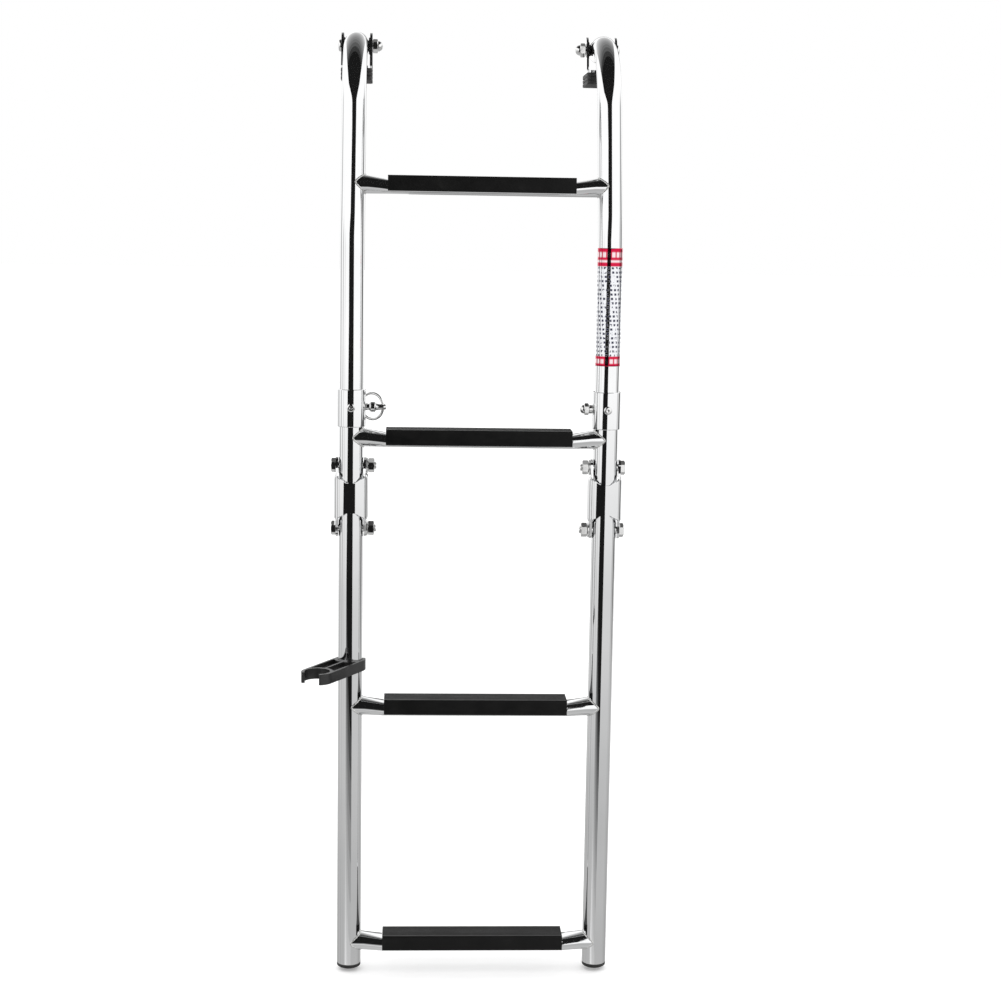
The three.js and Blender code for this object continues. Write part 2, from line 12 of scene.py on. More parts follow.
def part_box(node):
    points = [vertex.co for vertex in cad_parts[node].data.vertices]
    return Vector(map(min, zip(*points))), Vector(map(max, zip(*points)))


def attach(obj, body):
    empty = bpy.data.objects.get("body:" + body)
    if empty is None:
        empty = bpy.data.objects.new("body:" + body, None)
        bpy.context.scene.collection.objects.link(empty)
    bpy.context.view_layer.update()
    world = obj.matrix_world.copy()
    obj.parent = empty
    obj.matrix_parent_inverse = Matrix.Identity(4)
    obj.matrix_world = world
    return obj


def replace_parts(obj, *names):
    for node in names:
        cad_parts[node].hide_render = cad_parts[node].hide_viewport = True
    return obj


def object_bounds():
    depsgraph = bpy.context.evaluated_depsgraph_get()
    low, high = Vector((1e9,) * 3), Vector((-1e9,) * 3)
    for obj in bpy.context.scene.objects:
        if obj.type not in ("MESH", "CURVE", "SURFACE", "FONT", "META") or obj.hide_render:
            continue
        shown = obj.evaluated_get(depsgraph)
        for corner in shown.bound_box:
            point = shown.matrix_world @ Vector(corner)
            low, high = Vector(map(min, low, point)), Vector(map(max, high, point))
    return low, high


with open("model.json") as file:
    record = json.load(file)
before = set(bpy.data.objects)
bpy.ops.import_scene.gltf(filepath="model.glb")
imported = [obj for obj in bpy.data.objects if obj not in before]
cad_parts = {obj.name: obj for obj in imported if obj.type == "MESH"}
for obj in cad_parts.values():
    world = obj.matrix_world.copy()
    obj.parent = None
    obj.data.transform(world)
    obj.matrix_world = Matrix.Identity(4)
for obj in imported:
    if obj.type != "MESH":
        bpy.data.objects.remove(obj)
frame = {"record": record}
cad_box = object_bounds()

MM = Matrix.Scale(0.001, 4)
SIDES = {"left": -1, "right": 1}
BODY_OF = {node: body for body, nodes in frame["record"]["behaviour"]["bodies"].items() for node in nodes}
SLOT_OF = {part["node"]: part["material_slot"] for part in frame["record"]["subparts"]}

# Sizes that the frame's boxes don't give, in millimetres, as in the CAD.
TUBE_R = 12.7
TUBE_WALL = 1.2
AROUND = 64  # facets round a tube
RIM = 0.35  # round on a cut tube edge
BEND_R = 92
LEAN = math.radians(15.6)
EASE_R = 200
TOP_RUN = 22
REAR_RUN = 15
REACH = 150
BOLT_R = 4
PITCH = 66  # between the hinge bolts
GAP = 0.3


def middle(node):
    low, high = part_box(node)
    return (low + high) / 2


def linked(name, data):
    """A new object of this data, put in the scene."""
    obj = bpy.data.objects.new(name, data)
    bpy.context.scene.collection.objects.link(obj)
    return obj


# ---- mesh making --------------------------------------------------------------------------------
def finished(bm, name, sharp=32):
    """Turns a bmesh into a mesh with smooth faces, parted where they meet at more than `sharp` degrees."""
    bmesh.ops.remove_doubles(bm, verts=bm.verts, dist=1e-7)
    bmesh.ops.recalc_face_normals(bm, faces=bm.faces)
    mesh = bpy.data.meshes.new(name)
    bm.to_mesh(mesh)
    bm.free()
    mesh.shade_smooth()
    mesh.set_sharp_from_angle(angle=math.radians(sharp))
    return mesh


def skin(name, rings, cyclic=False, sharp=32):
    """Quads between neighbouring rings of points, and a face over each end unless the rings close up."""
    bm = bmesh.new()
    rows = [[bm.verts.new(point) for point in ring] for ring in rings]
    pairs = list(zip(rows, rows[1:]))
    if cyclic:
        pairs.append((rows[-1], rows[0]))
    for a, b in pairs:
        for i in range(len(a)):
            j = (i + 1) % len(a)
            bm.faces.new((a[i], a[j], b[j], b[i]))
    if not cyclic:
        bm.faces.new(reversed(rows[0]))
        bm.faces.new(rows[-1])
    return finished(bm, name, sharp)


def open_sheet(name, columns):
    """Quads between neighbouring columns of points."""
    bm = bmesh.new()
    grid = [[bm.verts.new(point) for point in column] for column in columns]
    for a, b in zip(grid, grid[1:]):
        for i in range(len(a) - 1):
            bm.faces.new((a[i], b[i], b[i + 1], a[i + 1]))
    return finished(bm, name)


def rounded(points, radius, steps=4, closed=True):
    """An outline with its corners turned into arcs. A holding point on each side of an arc keeps the
    long faces beside it flat in the light. `radius` is one number or one for each point."""
    outline = []
    for i, corner in enumerate(points):
        r = radius[i] if isinstance(radius, (list, tuple)) else radius
        p = Vector(corner)
        if r == 0 or (not closed and i in (0, len(points) - 1)):
            outline.append(p)
            continue
        before = (Vector(points[i - 1]) - p).normalized()
        after = (Vector(points[(i + 1) % len(points)]) - p).normalized()
        half = before.angle(after) / 2
        centre = p + (before + after).normalized() * (r / math.sin(half))
        start, end = (p + way * (r / math.tan(half)) for way in (before, after))
        outline.append(start + before * r * 0.5)
        a0 = math.atan2(start.y - centre.y, start.x - centre.x)
        a1 = math.atan2(end.y - centre.y, end.x - centre.x)
        sweep = (a1 - a0 + math.pi) % (2 * math.pi) - math.pi
        for k in range(steps + 1):
            a = a0 + sweep * k / steps
            outline.append(centre + Vector((math.cos(a), math.sin(a))) * r)
        outline.append(end + after * r * 0.5)
    return outline


def full_turn(count):
    return [2 * math.pi * k / count for k in range(count)]


def ring_of(place, h, radius, around=72):
    """Ring round the Z axis of `place` at height h. The radius is a number or a function of the angle."""
    ring = []
    for a in full_turn(around):
        r = radius(a) if callable(radius) else radius
        ring.append(place @ Vector((r * math.cos(a), r * math.sin(a), h)))
    return ring


def turned(name, profile, place, around=48, hollow=False):
    """A profile of (radius, height) points turned about the Z axis of `place`."""
    return skin(name, [ring_of(place, h, r, around) for r, h in profile], hollow)


def wire_ring(place, centre, out, side, r, around):
    """Ring of radius r about `centre`, in the plane of the directions `out` and `side`."""
    return [place @ (centre + (out * math.cos(a) + side * math.sin(a)) * r) for a in full_turn(around)]


def quarter(start, end, steps):
    """The points that follow `start` on a quarter of an ellipse, steep at first and level at `end`."""
    (r0, h0), (r1, h1) = start, end
    angles = [math.pi / 2 * k / steps for k in range(1, steps + 1)]
    return [(r1 + (r0 - r1) * math.cos(a), h0 + (h1 - h0) * math.sin(a)) for a in angles]


def applied(mesh, kind, **settings):
    """The mesh after one modifier."""
    holder = linked("holder", mesh)
    modifier = holder.modifiers.new(kind.lower(), kind)
    for key, value in settings.items():
        setattr(modifier, key, value)
    evaluated = holder.evaluated_get(bpy.context.evaluated_depsgraph_get())
    result = bpy.data.meshes.new_from_object(evaluated)
    bpy.data.objects.remove(holder)
    return result


def bevelled(mesh, width, segments, angle):
    """Rounds every edge sharper than `angle` degrees. Width is in millimetres."""
    return applied(mesh, "BEVEL", width=width * 0.001, segments=segments, limit_method="ANGLE",
                   angle_limit=math.radians(angle), harden_normals=True, miter_outer="MITER_ARC")


def combined(mesh, operation, *others):
    """The mesh after a boolean with each of the other meshes in turn."""
    for other in others:
        tool = linked("tool", other)
        mesh = applied(mesh, "BOOLEAN", operation=operation, solver="EXACT", object=tool)
        bpy.data.objects.remove(tool)
    return mesh


def welded_flat(mesh, sharp=32):
    """Joins doubled points left by a boolean and sets the shading again."""
    bm = bmesh.new()
    bm.from_mesh(mesh)
    bmesh.ops.dissolve_degenerate(bm, edges=bm.edges, dist=1e-6)
    return finished(bm, mesh.name, sharp)


def prism(name, outline, low, high, place):
    """A flat outline raised along the Z axis of `place`."""
    rings = [[place @ Vector((x, y, level)) for x, y in outline] for level in (low, high)]
    return skin(name, rings)


# ---- placing ------------------------------------------------------------------------------------
def piece(name, mesh, body, material):
    obj = linked(name, mesh)
    mesh.materials.clear()
    mesh.materials.append(material)
    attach(obj, body)
    return obj


def stand_in(node, mesh):
    """Puts a fine mesh in the place of a CAD node, on its body and with its material slot."""
    slot = SLOT_OF[node]
    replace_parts(piece(f"{node}_fine", mesh, BODY_OF[node], FINISHES[slot]), node)


def upright(x, y, z=0.0):
    return Matrix.Translation((x, y, z)) @ MM


def tipped(point, degrees):
    """A frame whose Z is turned about X: 90 points it forwards, -90 backwards and 180 down."""
    return Matrix.Translation(point) @ Matrix.Rotation(math.radians(degrees), 4, "X") @ MM


def sideways(side, point):
    """A frame whose Z runs across the ladder from outboard to inboard of one rail."""
    return Matrix.Translation(point) @ Matrix.Rotation(-side * math.pi / 2, 4, "Y") @ MM


# Frames for prisms: one is drawn in (y, z) and raised along X, the other in (x, z) and raised along Y.
ALONG_X = Matrix(((0, 0, 1, 0), (1, 0, 0, 0), (0, 1, 0, 0), (0, 0, 0, 1)))
ALONG_Y = Matrix(((1, 0, 0, 0), (0, 0, -1, 0), (0, 1, 0, 0), (0, 0, 0, 1)))


# ---- materials ----------------------------------------------------------------------------------
class Nodes:
    """A node tree, emptied, and short ways to add to it."""

    def __init__(self, tree):
        self.tree = tree
        tree.nodes.clear()

    def add(self, kind):
        return self.tree.nodes.new(kind)

    def feed(self, socket, value):
        if isinstance(value, bpy.types.NodeSocket):
            self.tree.links.new(value, socket)
        else:
            socket.default_value = value

    def ranged(self, value, low, high, to_low, to_high, smooth=False):
        node = self.add("ShaderNodeMapRange")
        if smooth:
            node.interpolation_type = "SMOOTHSTEP"
        for socket, number in zip(node.inputs[:5], (value, low, high, to_low, to_high)):
            self.feed(socket, number)
        return node.outputs["Result"]

    def maths(self, operation, a, b=0.0):
        node = self.add("ShaderNodeMath")
        node.operation = operation
        self.feed(node.inputs[0], a)
        self.feed(node.inputs[1], b)
        return node.outputs["Value"]

    def ramp(self, value, *stops):
        node = self.add("ShaderNodeValToRGB")
        self.feed(node.inputs["Fac"], value)
        for i, (position, colour) in enumerate(stops):
            element = node.color_ramp.elements[i] if i < 2 else node.color_ramp.elements.new(position)
            element.position = position
            element.color = (*colour, 1)
        return node.outputs["Color"]


class Shader(Nodes):
    """A Principled material and short ways to add texture to it."""

    def __init__(self, name, metallic=0.0):
        self.material = bpy.data.materials.new(name)
        self.material.use_nodes = True
        super().__init__(self.material.node_tree)
        self.surface = self.add("ShaderNodeBsdfPrincipled")
        self.feed(self.add("ShaderNodeOutputMaterial").inputs["Surface"], self.surface.outputs["BSDF"])
        self.set("Metallic", metallic)
        self.place = self.add("ShaderNodeTexCoord").outputs["Object"]

    def set(self, name, value):
        self.feed(self.surface.inputs[name], value)

    def noise(self, scale, detail=3.0, rough=0.55):
        """Noise whose scale is in waves per metre along X, Y and Z."""
        stretched = self.add("ShaderNodeVectorMath")
        stretched.operation = "MULTIPLY"
        self.feed(stretched.inputs[0], self.place)
        self.feed(stretched.inputs[1], scale)
        node = self.add("ShaderNodeTexNoise")
        self.feed(node.inputs["Vector"], stretched.outputs["Vector"])
        for name, value in (("Scale", 1.0), ("Detail", detail), ("Roughness", rough)):
            self.feed(node.inputs[name], value)
        return node.outputs["Fac"]

    def mixed(self, factor, a, b):
        node = self.add("ShaderNodeMix")
        node.data_type = "RGBA"
        for name, value in (("Factor", factor), ("A", a), ("B", b)):
            self.feed(node.inputs[name], value)
        return node.outputs["Result"]

    def bump(self, height, distance, strength):
        node = self.add("ShaderNodeBump")
        for name, value in (("Distance", distance), ("Strength", strength), ("Height", height)):
            self.feed(node.inputs[name], value)
        self.set("Normal", node.outputs["Normal"])


def grey(value, warmth=0.0):
    return (value * (1 + warmth), value, value * (1 - warmth))


def polished_steel():
    """Mirror-polished tube: faint cloudy patches and the long fine lines of the polishing belt."""
    s = Shader("polished_steel", 1.0)
    cloud = s.noise((14, 14, 9), 4)
    lines = s.noise((900, 900, 7), 2)
    s.set("Base Color", s.ramp(cloud, (0.3, (0.80, 0.805, 0.81)), (0.7, (0.87, 0.872, 0.875))))
    rough = s.maths("ADD", s.ranged(cloud, 0.35, 0.7, 0.022, 0.05), s.ranged(lines, 0.4, 0.8, 0.0, 0.03))
    s.set("Roughness", rough)
    s.bump(lines, 0.000002, 0.25)
    return s.material


def weld_steel():
    """Weld bead, polished over but still a little rippled and dull."""
    s = Shader("weld_steel", 1.0)
    cloud = s.noise((220, 220, 220), 3)
    s.set("Base Color", s.ramp(cloud, (0.25, (0.58, 0.575, 0.56)), (0.75, (0.80, 0.80, 0.79))))
    s.set("Roughness", s.ranged(cloud, 0.3, 0.7, 0.10, 0.26))
    s.bump(cloud, 0.0001, 0.4)
    return s.material


def steel_hardware():
    """Turned and rolled fasteners: bright but less even than the tube."""
    s = Shader("steel_hardware", 1.0)
    cloud = s.noise((160, 160, 160), 4)
    grain = s.noise((2600, 2600, 2600), 2)
    s.set("Base Color", s.ramp(cloud, (0.3, (0.76, 0.76, 0.755)), (0.7, (0.87, 0.87, 0.865))))
    fine = s.ranged(grain, 0.4, 0.8, 0, 0.04)
    s.set("Roughness", s.maths("ADD", s.ranged(cloud, 0.3, 0.7, 0.05, 0.11), fine))
    s.bump(grain, 0.000006, 0.25)
    return s.material


def tread_rubber():
    """Moulded black rubber: fine matt grain, scuffed a little paler in patches."""
    s = Shader("tread_rubber")
    grain = s.noise((5200, 5200, 5200), 3, 0.7)
    scuff = s.noise((38, 60, 60), 5, 0.65)
    tones = ((0.35, grey(0.003)), (0.62, grey(0.005, 0.02)), (0.78, grey(0.010, 0.03)))
    s.set("Base Color", s.ramp(scuff, *tones))
    fine = s.ranged(grain, 0.3, 0.7, 0, 0.08)
    s.set("Roughness", s.maths("ADD", s.ranged(scuff, 0.3, 0.75, 0.32, 0.44), fine))
    s.set("Specular IOR Level", 0.2)
    s.bump(grain, 0.00004, 0.3)
    return s.material


def pad_rubber():
    """Softer rubber of the bracket pads and foot caps, with mould flecks."""
    s = Shader("pad_rubber")
    grain = s.noise((3400, 3400, 3400), 2, 0.6)
    patch = s.noise((90, 90, 90), 4)
    s.set("Base Color", s.ramp(patch, (0.3, grey(0.010)), (0.72, grey(0.021, 0.02))))
    s.set("Roughness", s.ranged(patch, 0.3, 0.7, 0.5, 0.68))
    s.bump(grain, 0.00008, 0.35)
    return s.material


def black_plastic():
    """Injection-moulded plastic: faint orange peel and flow streaks."""
    s = Shader("black_plastic")
    peel = s.noise((1500, 1500, 1500), 2, 0.5)
    flow = s.noise((120, 120, 30), 4)
    s.set("Base Color", s.ramp(flow, (0.3, grey(0.009)), (0.75, grey(0.018, 0.01))))
    s.set("Roughness", s.ranged(flow, 0.3, 0.7, 0.30, 0.42))
    s.bump(peel, 0.00008, 0.3)
    return s.material


def nylon():
    s = Shader("nylon")
    peel = s.noise((2200, 2200, 2200), 2)
    patch = s.noise((140, 140, 140), 3)
    s.set("Base Color", s.ramp(patch, (0.3, grey(0.016)), (0.75, grey(0.03, -0.01))))
    s.set("Roughness", s.ranged(patch, 0.3, 0.7, 0.4, 0.55))
    s.bump(peel, 0.00005, 0.3)
    return s.material


# The label's end bands, as shares of its height, and its rows of dashes: how many, how many dashes
# fit a radian, how far each row is shifted, and how far round the tube they reach, in radians.
LABEL = {"top_band": 0.153, "low_band": 0.085, "rows": 27, "across": 3.1, "shift": 0.045, "reach": 1.42}


def label_film():
    """Clear film over the polished tube, with plain red end bands and rows of small blank dashes."""
    low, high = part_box("blank_label")
    axis = middle("right_mid_rail")
    s = Shader("label_film")
    split = s.add("ShaderNodeSeparateXYZ")
    s.feed(split.inputs[0], s.place)
    across = s.maths("ARCTAN2", s.maths("SUBTRACT", split.outputs["X"], axis.x),
                     s.maths("SUBTRACT", axis.y, split.outputs["Y"]))
    along = s.ranged(split.outputs["Z"], low.z, high.z, 0.0, 1.0)

    def window(value, start, end, edge):
        """1 between start and end."""
        return s.maths("MINIMUM", s.ranged(value, start - edge, start + edge, 0.0, 1.0),
                       s.ranged(value, end - edge, end + edge, 1.0, 0.0))

    def stripes(value, count, share):
        """1 on the middle `share` of each of `count` equal cells."""
        cell = s.maths("FRACT", s.maths("MULTIPLY", value, count))
        return window(cell, 0.5 - share / 2, 0.5 + share / 2, 0.08)

    row_number = s.maths("FLOOR", s.maths("MULTIPLY", along, LABEL["rows"]))
    shifted = s.maths("ADD", across, s.maths("MULTIPLY", row_number, LABEL["shift"]))
    dashes = s.maths("MULTIPLY", stripes(along, LABEL["rows"], 0.52), stripes(shifted, LABEL["across"], 0.6))
    breakup = s.ranged(s.noise((330, 330, 240), 1), 0.40, 0.46, 0.0, 1.0)
    from_top = s.ranged(along, 1.0, 1.0 - LABEL["top_band"], 0.0, 1.0)
    from_low = s.ranged(along, 0.0, LABEL["low_band"], 0.0, 1.0)
    body = window(along, LABEL["low_band"], 1.0 - LABEL["top_band"], 0.004)
    sides = window(across, -LABEL["reach"], LABEL["reach"], 0.02)
    ink = s.maths("MULTIPLY", s.maths("MULTIPLY", dashes, breakup), s.maths("MULTIPLY", body, sides))
    blocks = s.maths("MULTIPLY", stripes(across, 2.6, 0.72), s.maths(
        "MAXIMUM", window(from_top, 0.22, 0.5, 0.04), window(from_low, 0.28, 0.72, 0.06)))
    pale = s.maths("MAXIMUM", blocks, window(from_top, 0.66, 0.78, 0.04))
    speck = s.noise((420, 420, 420), 2)
    film = s.ramp(speck, (0.3, (0.76, 0.77, 0.80)), (0.7, (0.85, 0.86, 0.88)))
    red = s.mixed(s.maths("MULTIPLY", pale, 0.9), (0.60, 0.015, 0.06, 1), (0.88, 0.78, 0.80, 1))
    s.set("Base Color", s.mixed(body, red, s.mixed(ink, film, (0.012, 0.014, 0.045, 1))))
    s.set("Metallic", s.ranged(ink, 0.0, 1.0, 1.0, 0.2))
    s.set("Roughness", s.ranged(speck, 0.3, 0.7, 0.07, 0.12))
    s.bump(speck, 0.00002, 0.3)
    return s.material


FINISHES = {make.__name__: make() for make in
            (polished_steel, steel_hardware, tread_rubber, pad_rubber, black_plastic, nylon, label_film)}
WELD = weld_steel()


# ---- camera -------------------------------------------------------------------------------------
def make_camera():
    """Stands in front, a little left of the middle, turned right and looking down."""
    yaw, pitch, roll = 0.04951, 0.14286, 0.01603
    place = (-0.0751, -2.1401, -0.1502)
    data = bpy.data.cameras.new("camera")
    data.sensor_width = 36
    data.lens = 69.23
    ahead = Vector((math.sin(yaw) * math.cos(pitch), math.cos(yaw) * math.cos(pitch), -math.sin(pitch)))
    level = Vector((math.cos(yaw), -math.sin(yaw), 0))
    over = level.cross(ahead)
    right = level * math.cos(roll) + over * math.sin(roll)
    up = over * math.cos(roll) - level * math.sin(roll)
    camera = linked("camera", data)
    camera.matrix_world = Matrix.Translation(place) @ Matrix((right, up, -ahead)).transposed().to_4x4()
    bpy.context.scene.camera = camera


make_camera()


# ---- rails --------------------------------------------------------------------------------------
BEND_TURN = math.pi / 2 - LEAN
BEND_END = Vector((-TOP_RUN - BEND_R * math.sin(BEND_TURN), -BEND_R * (1 - math.cos(BEND_TURN))))
EASE_START_Y = -REACH + EASE_R * (1 - math.cos(LEAN))
LEAN_LENGTH = (BEND_END.x - EASE_START_Y) / math.sin(LEAN)
STRAIGHT_TOP = BEND_END.y - LEAN_LENGTH * math.cos(LEAN) - EASE_R * math.sin(LEAN)
SECTIONS = [REAR_RUN + TOP_RUN, BEND_R * BEND_TURN, LEAN_LENGTH, EASE_R * LEAN]


def rail_point(s):
    """(y, z, heading) of the bent rail's centre line at length s from its rear end. z is from the
    pivot bolt; the heading turns from level towards down."""
    level, bend, lean, ease = SECTIONS
    if s <= level:
        return REAR_RUN - s, 0.0, 0.0
    s -= level
    if s <= bend:
        a = s / BEND_R
        return -TOP_RUN - BEND_R * math.sin(a), -BEND_R * (1 - math.cos(a)), a
    s -= bend
    if s <= lean:
        return (BEND_END.x - s * math.sin(LEAN), BEND_END.y - s * math.cos(LEAN), BEND_TURN)
    s -= lean
    if s <= ease:
        left = LEAN - s / EASE_R
        return (-REACH + EASE_R * (1 - math.cos(left)), STRAIGHT_TOP + EASE_R * math.sin(left),
                math.pi / 2 - left)
    s -= ease
    return -REACH, STRAIGHT_TOP - s, math.pi / 2


def rail_ring(place, s, r):
    y, z, heading = rail_point(s)
    out = Vector((0, -math.sin(heading), math.cos(heading)))
    return wire_ring(place, Vector((0, y, z)), Vector((1, 0, 0)), out, r, AROUND)


def tube_profile(low, high):
    inner = TUBE_R - TUBE_WALL
    return rounded([(inner, low), (TUBE_R, low), (TUBE_R, high), (inner, high)], RIM, 3)


def bent_rail(place, length):
    """Hollow tube along the bent centre line, its cut ends slightly rounded."""
    step = 3.2
    corners = tube_profile(0, length)
    profile = []
    for (r0, s0), (r1, s1) in zip(corners, corners[1:] + corners[:1]):
        count = max(math.ceil(abs(s1 - s0) / step), 1)
        profile += [(r0 + (r1 - r0) * k / count, s0 + (s1 - s0) * k / count) for k in range(count)]
    return skin("top_rail", [rail_ring(place, s, r) for r, s in profile], cyclic=True)


def straight_rail(name, node):
    low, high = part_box(node)
    centre = (low + high) / 2
    profile = tube_profile(low.z * 1000, high.z * 1000)
    return turned(name, profile, upright(centre.x, centre.y), AROUND, hollow=True)


def plug_mesh(node, facing):
    """Plug pressed into an open tube end: chamfered flange and a stem inside."""
    low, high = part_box(node)
    centre = (low + high) / 2
    stem, head, r = 6.0, 2.0, TUBE_R - 0.1
    inside = TUBE_R - TUBE_WALL - GAP
    profile = rounded([(0, -stem), (inside, -stem), (inside, 0.1), (r, 0.1), (r, head), (r - 3, head - 0.15),
                       (0, head - 0.15)], [0, 0.5, 0, 0.2, 0.9, 0, 0], 4, closed=False)
    if facing == "back":
        place = tipped((centre.x, high.y - head * 0.001, centre.z), -90)
    elif facing == "down":
        place = tipped((centre.x, centre.y, low.z + head * 0.001), 180)
    else:
        place = upright(centre.x, centre.y, high.z - head * 0.001)
    return turned("plug", profile, place, AROUND)


def foot_cap_mesh(node):
    """Domed rubber foot with a shallow moulded groove under its rim."""
    low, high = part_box(node)
    centre = (low + high) / 2
    dome, rim, inside = 6.0, 2.2, TUBE_R - TUBE_WALL - GAP
    profile = [(0, -12), (inside - 0.6, -12), (inside, -11), (inside, 0.1), (TUBE_R - 0.25, 0.1),
               (TUBE_R, 0.35), (TUBE_R, rim - 0.5), (TUBE_R - 0.3, rim - 0.3), (TUBE_R - 0.3, rim - 0.1),
               (TUBE_R - 0.05, rim + 0.1)]
    profile += quarter(profile[-1], (0, dome), 12)
    return turned("foot_cap", profile, tipped((centre.x, centre.y, low.z + dome * 0.001), 180), AROUND)


def make_rails(label):
    axis = middle(f"{label}_lower_rail")
    pivot = middle(f"{label}_pivot_nut")
    rail_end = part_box(f"{label}_top_rail")[0].z
    length = sum(SECTIONS) + STRAIGHT_TOP + (pivot.z - rail_end) * 1000
    stand_in(f"{label}_top_rail", bent_rail(upright(axis.x, 0, pivot.z), length))
    for part in ("mid_rail", "lower_rail"):
        stand_in(f"{label}_{part}", straight_rail(part, f"{label}_{part}"))
    for part, facing in (("rail_rear_plug", "back"), ("mid_rail_plug", "down"), ("lower_rail_plug", "up")):
        stand_in(f"{label}_{part}", plug_mesh(f"{label}_{part}", facing))
    stand_in(f"{label}_foot_cap", foot_cap_mesh(f"{label}_foot_cap"))


# ---- collars ------------------------------------------------------------------------------------
def collar_mesh(node):
    """Sleeve over the joint of two tubes, its outer edges chamfered and softened."""
    low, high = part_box(node)
    centre = (low + high) / 2
    outer, inner = (high.x - low.x) * 500, TUBE_R + 0.05
    z0, z1, chamfer = low.z * 1000, high.z * 1000, 0.5
    corners = [(inner, z0), (outer - chamfer, z0), (outer, z0 + chamfer), (outer, z1 - chamfer),
               (outer - chamfer, z1), (inner, z1)]
    profile = rounded(corners, [0.15, 0.25, 0.3, 0.3, 0.25, 0.15], 3)
    return turned("collar", profile, upright(centre.x, centre.y), AROUND, hollow=True)


def hexagon(flat, a):
    """Radius of a hexagon of half-width `flat` at angle a."""
    return flat / math.cos((a % (math.pi / 3)) - math.pi / 6)


def socket_head(name, place, crown, socket, depth, shank, length):
    """Round-headed screw with a hexagon socket. The crown is (radius, height) points from the seat
    up; the shank runs the other way."""
    top = crown[-1][1]
    profile = [(0, -length), (shank - 0.4, -length), (shank, 0.4 - length), (shank, 0), *crown,
               (lambda a: hexagon(socket, a) * 1.06, top), (lambda a: hexagon(socket, a), top - 0.25),
               (lambda a: hexagon(socket, a), top - depth), (0, top - depth - 0.5)]
    return skin(name, [ring_of(place, h, r) for r, h in profile], sharp=28)


def domed(r, h, flat_r):
    """Crown from the seat edge (r, 0) up to a flat of radius flat_r at height h."""
    edge = (r, 0.22 * h)
    return [(r - 0.2, 0), (r, 0.2), edge, *quarter(edge, (flat_r, h), 8)]


def make_collar(label):
    node = f"{label}_collar"
    stand_in(node, collar_mesh(node))
    crown = 2.2
    low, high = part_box(f"{label}_collar_screw")
    seat = ((low.x + high.x) / 2, low.y + crown * 0.001, (low.z + high.z) / 2)
    screw = socket_head("collar_screw", tipped(seat, 90), domed(4.2, crown, 2.6), socket=1.5, depth=1.4,
                        shank=2.3, length=5.0)
    stand_in(f"{label}_collar_screw", screw)


# ---- nuts and bolts -----------------------------------------------------------------------------
HEX_FLAT = 6.5  # half across flats of the M8 fasteners


def hex_rings(place, flat, low, high, both_ends=True):
    """Rings up a hexagon prism. A circle trims its corners near the lower end, and near the upper end
    too if both are chamfered."""
    corner = flat / math.cos(math.pi / 6)
    face = flat * 0.965
    rise = (corner - face) * math.tan(math.radians(30))
    steps = 5
    trims = [(rise * k / steps, face + (corner - face) * k / steps) for k in range(steps + 1)]
    levels = [(low + h, circle) for h, circle in trims] + [((low + high) / 2, corner)]
    levels += [(high - h, circle) for h, circle in reversed(trims)] if both_ends else [(high, corner)]
    return [ring_of(place, h, lambda a, c=circle: min(hexagon(flat, a), c)) for h, circle in levels]


def thread_radius(h, a, r, pitch=1.25, depth=0.55):
    phase = (h / pitch - a / (2 * math.pi)) % 1
    return r - depth * abs(2 * phase - 1)


def threaded_end(place, start, end, r):
    """Rings of a threaded length that ends in a chamfer."""
    rings = []
    chamfer, slope, step = 0.9, 0.9, 0.21
    count = math.ceil((end - start) / step)
    for k in range(count + 1):
        h = start + (end - start) * k / count
        cap = r - max(0.0, h - (end - chamfer)) * slope
        rings.append(ring_of(place, h, lambda a, h=h, c=cap: min(thread_radius(h, a, r), c)))
    rings.append(ring_of(place, end, 0))
    return rings


def hex_bolt(place, low, head, end, thread_from):
    """Hexagon-headed bolt; its head starts at `low` and its thread runs to `end`."""
    seat = low + head
    rings = [ring_of(place, low, 0), *hex_rings(place, HEX_FLAT, low, seat, both_ends=False)]
    rings += [ring_of(place, seat, BOLT_R), ring_of(place, thread_from, BOLT_R)]
    rings += threaded_end(place, thread_from + 0.1, end, BOLT_R)
    return skin("hinge_bolt", rings, sharp=24)


def hex_nut(place, low, high):
    """Hexagon nut, chamfered on both faces, its bore countersunk."""
    sink = 0.6
    bore = [(BOLT_R + sink, high), (BOLT_R, high - sink), (BOLT_R, low + sink), (BOLT_R + sink, low)]
    rings = hex_rings(place, HEX_FLAT, low, high) + [ring_of(place, h, r) for r, h in bore]
    return skin("hinge_nut", rings, cyclic=True, sharp=24)


def cap_nut(name, place, flat, low, base, dome_r, dome_h, bore=BOLT_R, depth=8.0):
    """Closed nut: a hexagon base that steps in to a round dome."""
    top = low + base
    inside = [(0, low + depth), (bore, low + depth - 1), (bore, low + 0.6), (bore + 0.6, low)]
    start = (dome_r, top + 0.3)
    dome = [(dome_r + 0.35, top), start, *quarter(start, (0, start[1] + dome_h), 12)]
    rings = [ring_of(place, h, r) for r, h in inside]
    rings += hex_rings(place, flat, low, top)
    rings += [ring_of(place, h, r) for r, h in dome]
    return skin(name, rings, sharp=24)


def washer(place, low, high):
    hole, r = BOLT_R + 0.3, 8.0
    profile = rounded([(hole, low), (r, low), (r, high), (hole, high)], 0.3, 3)
    return turned("hinge_washer", profile, place, 64, hollow=True)


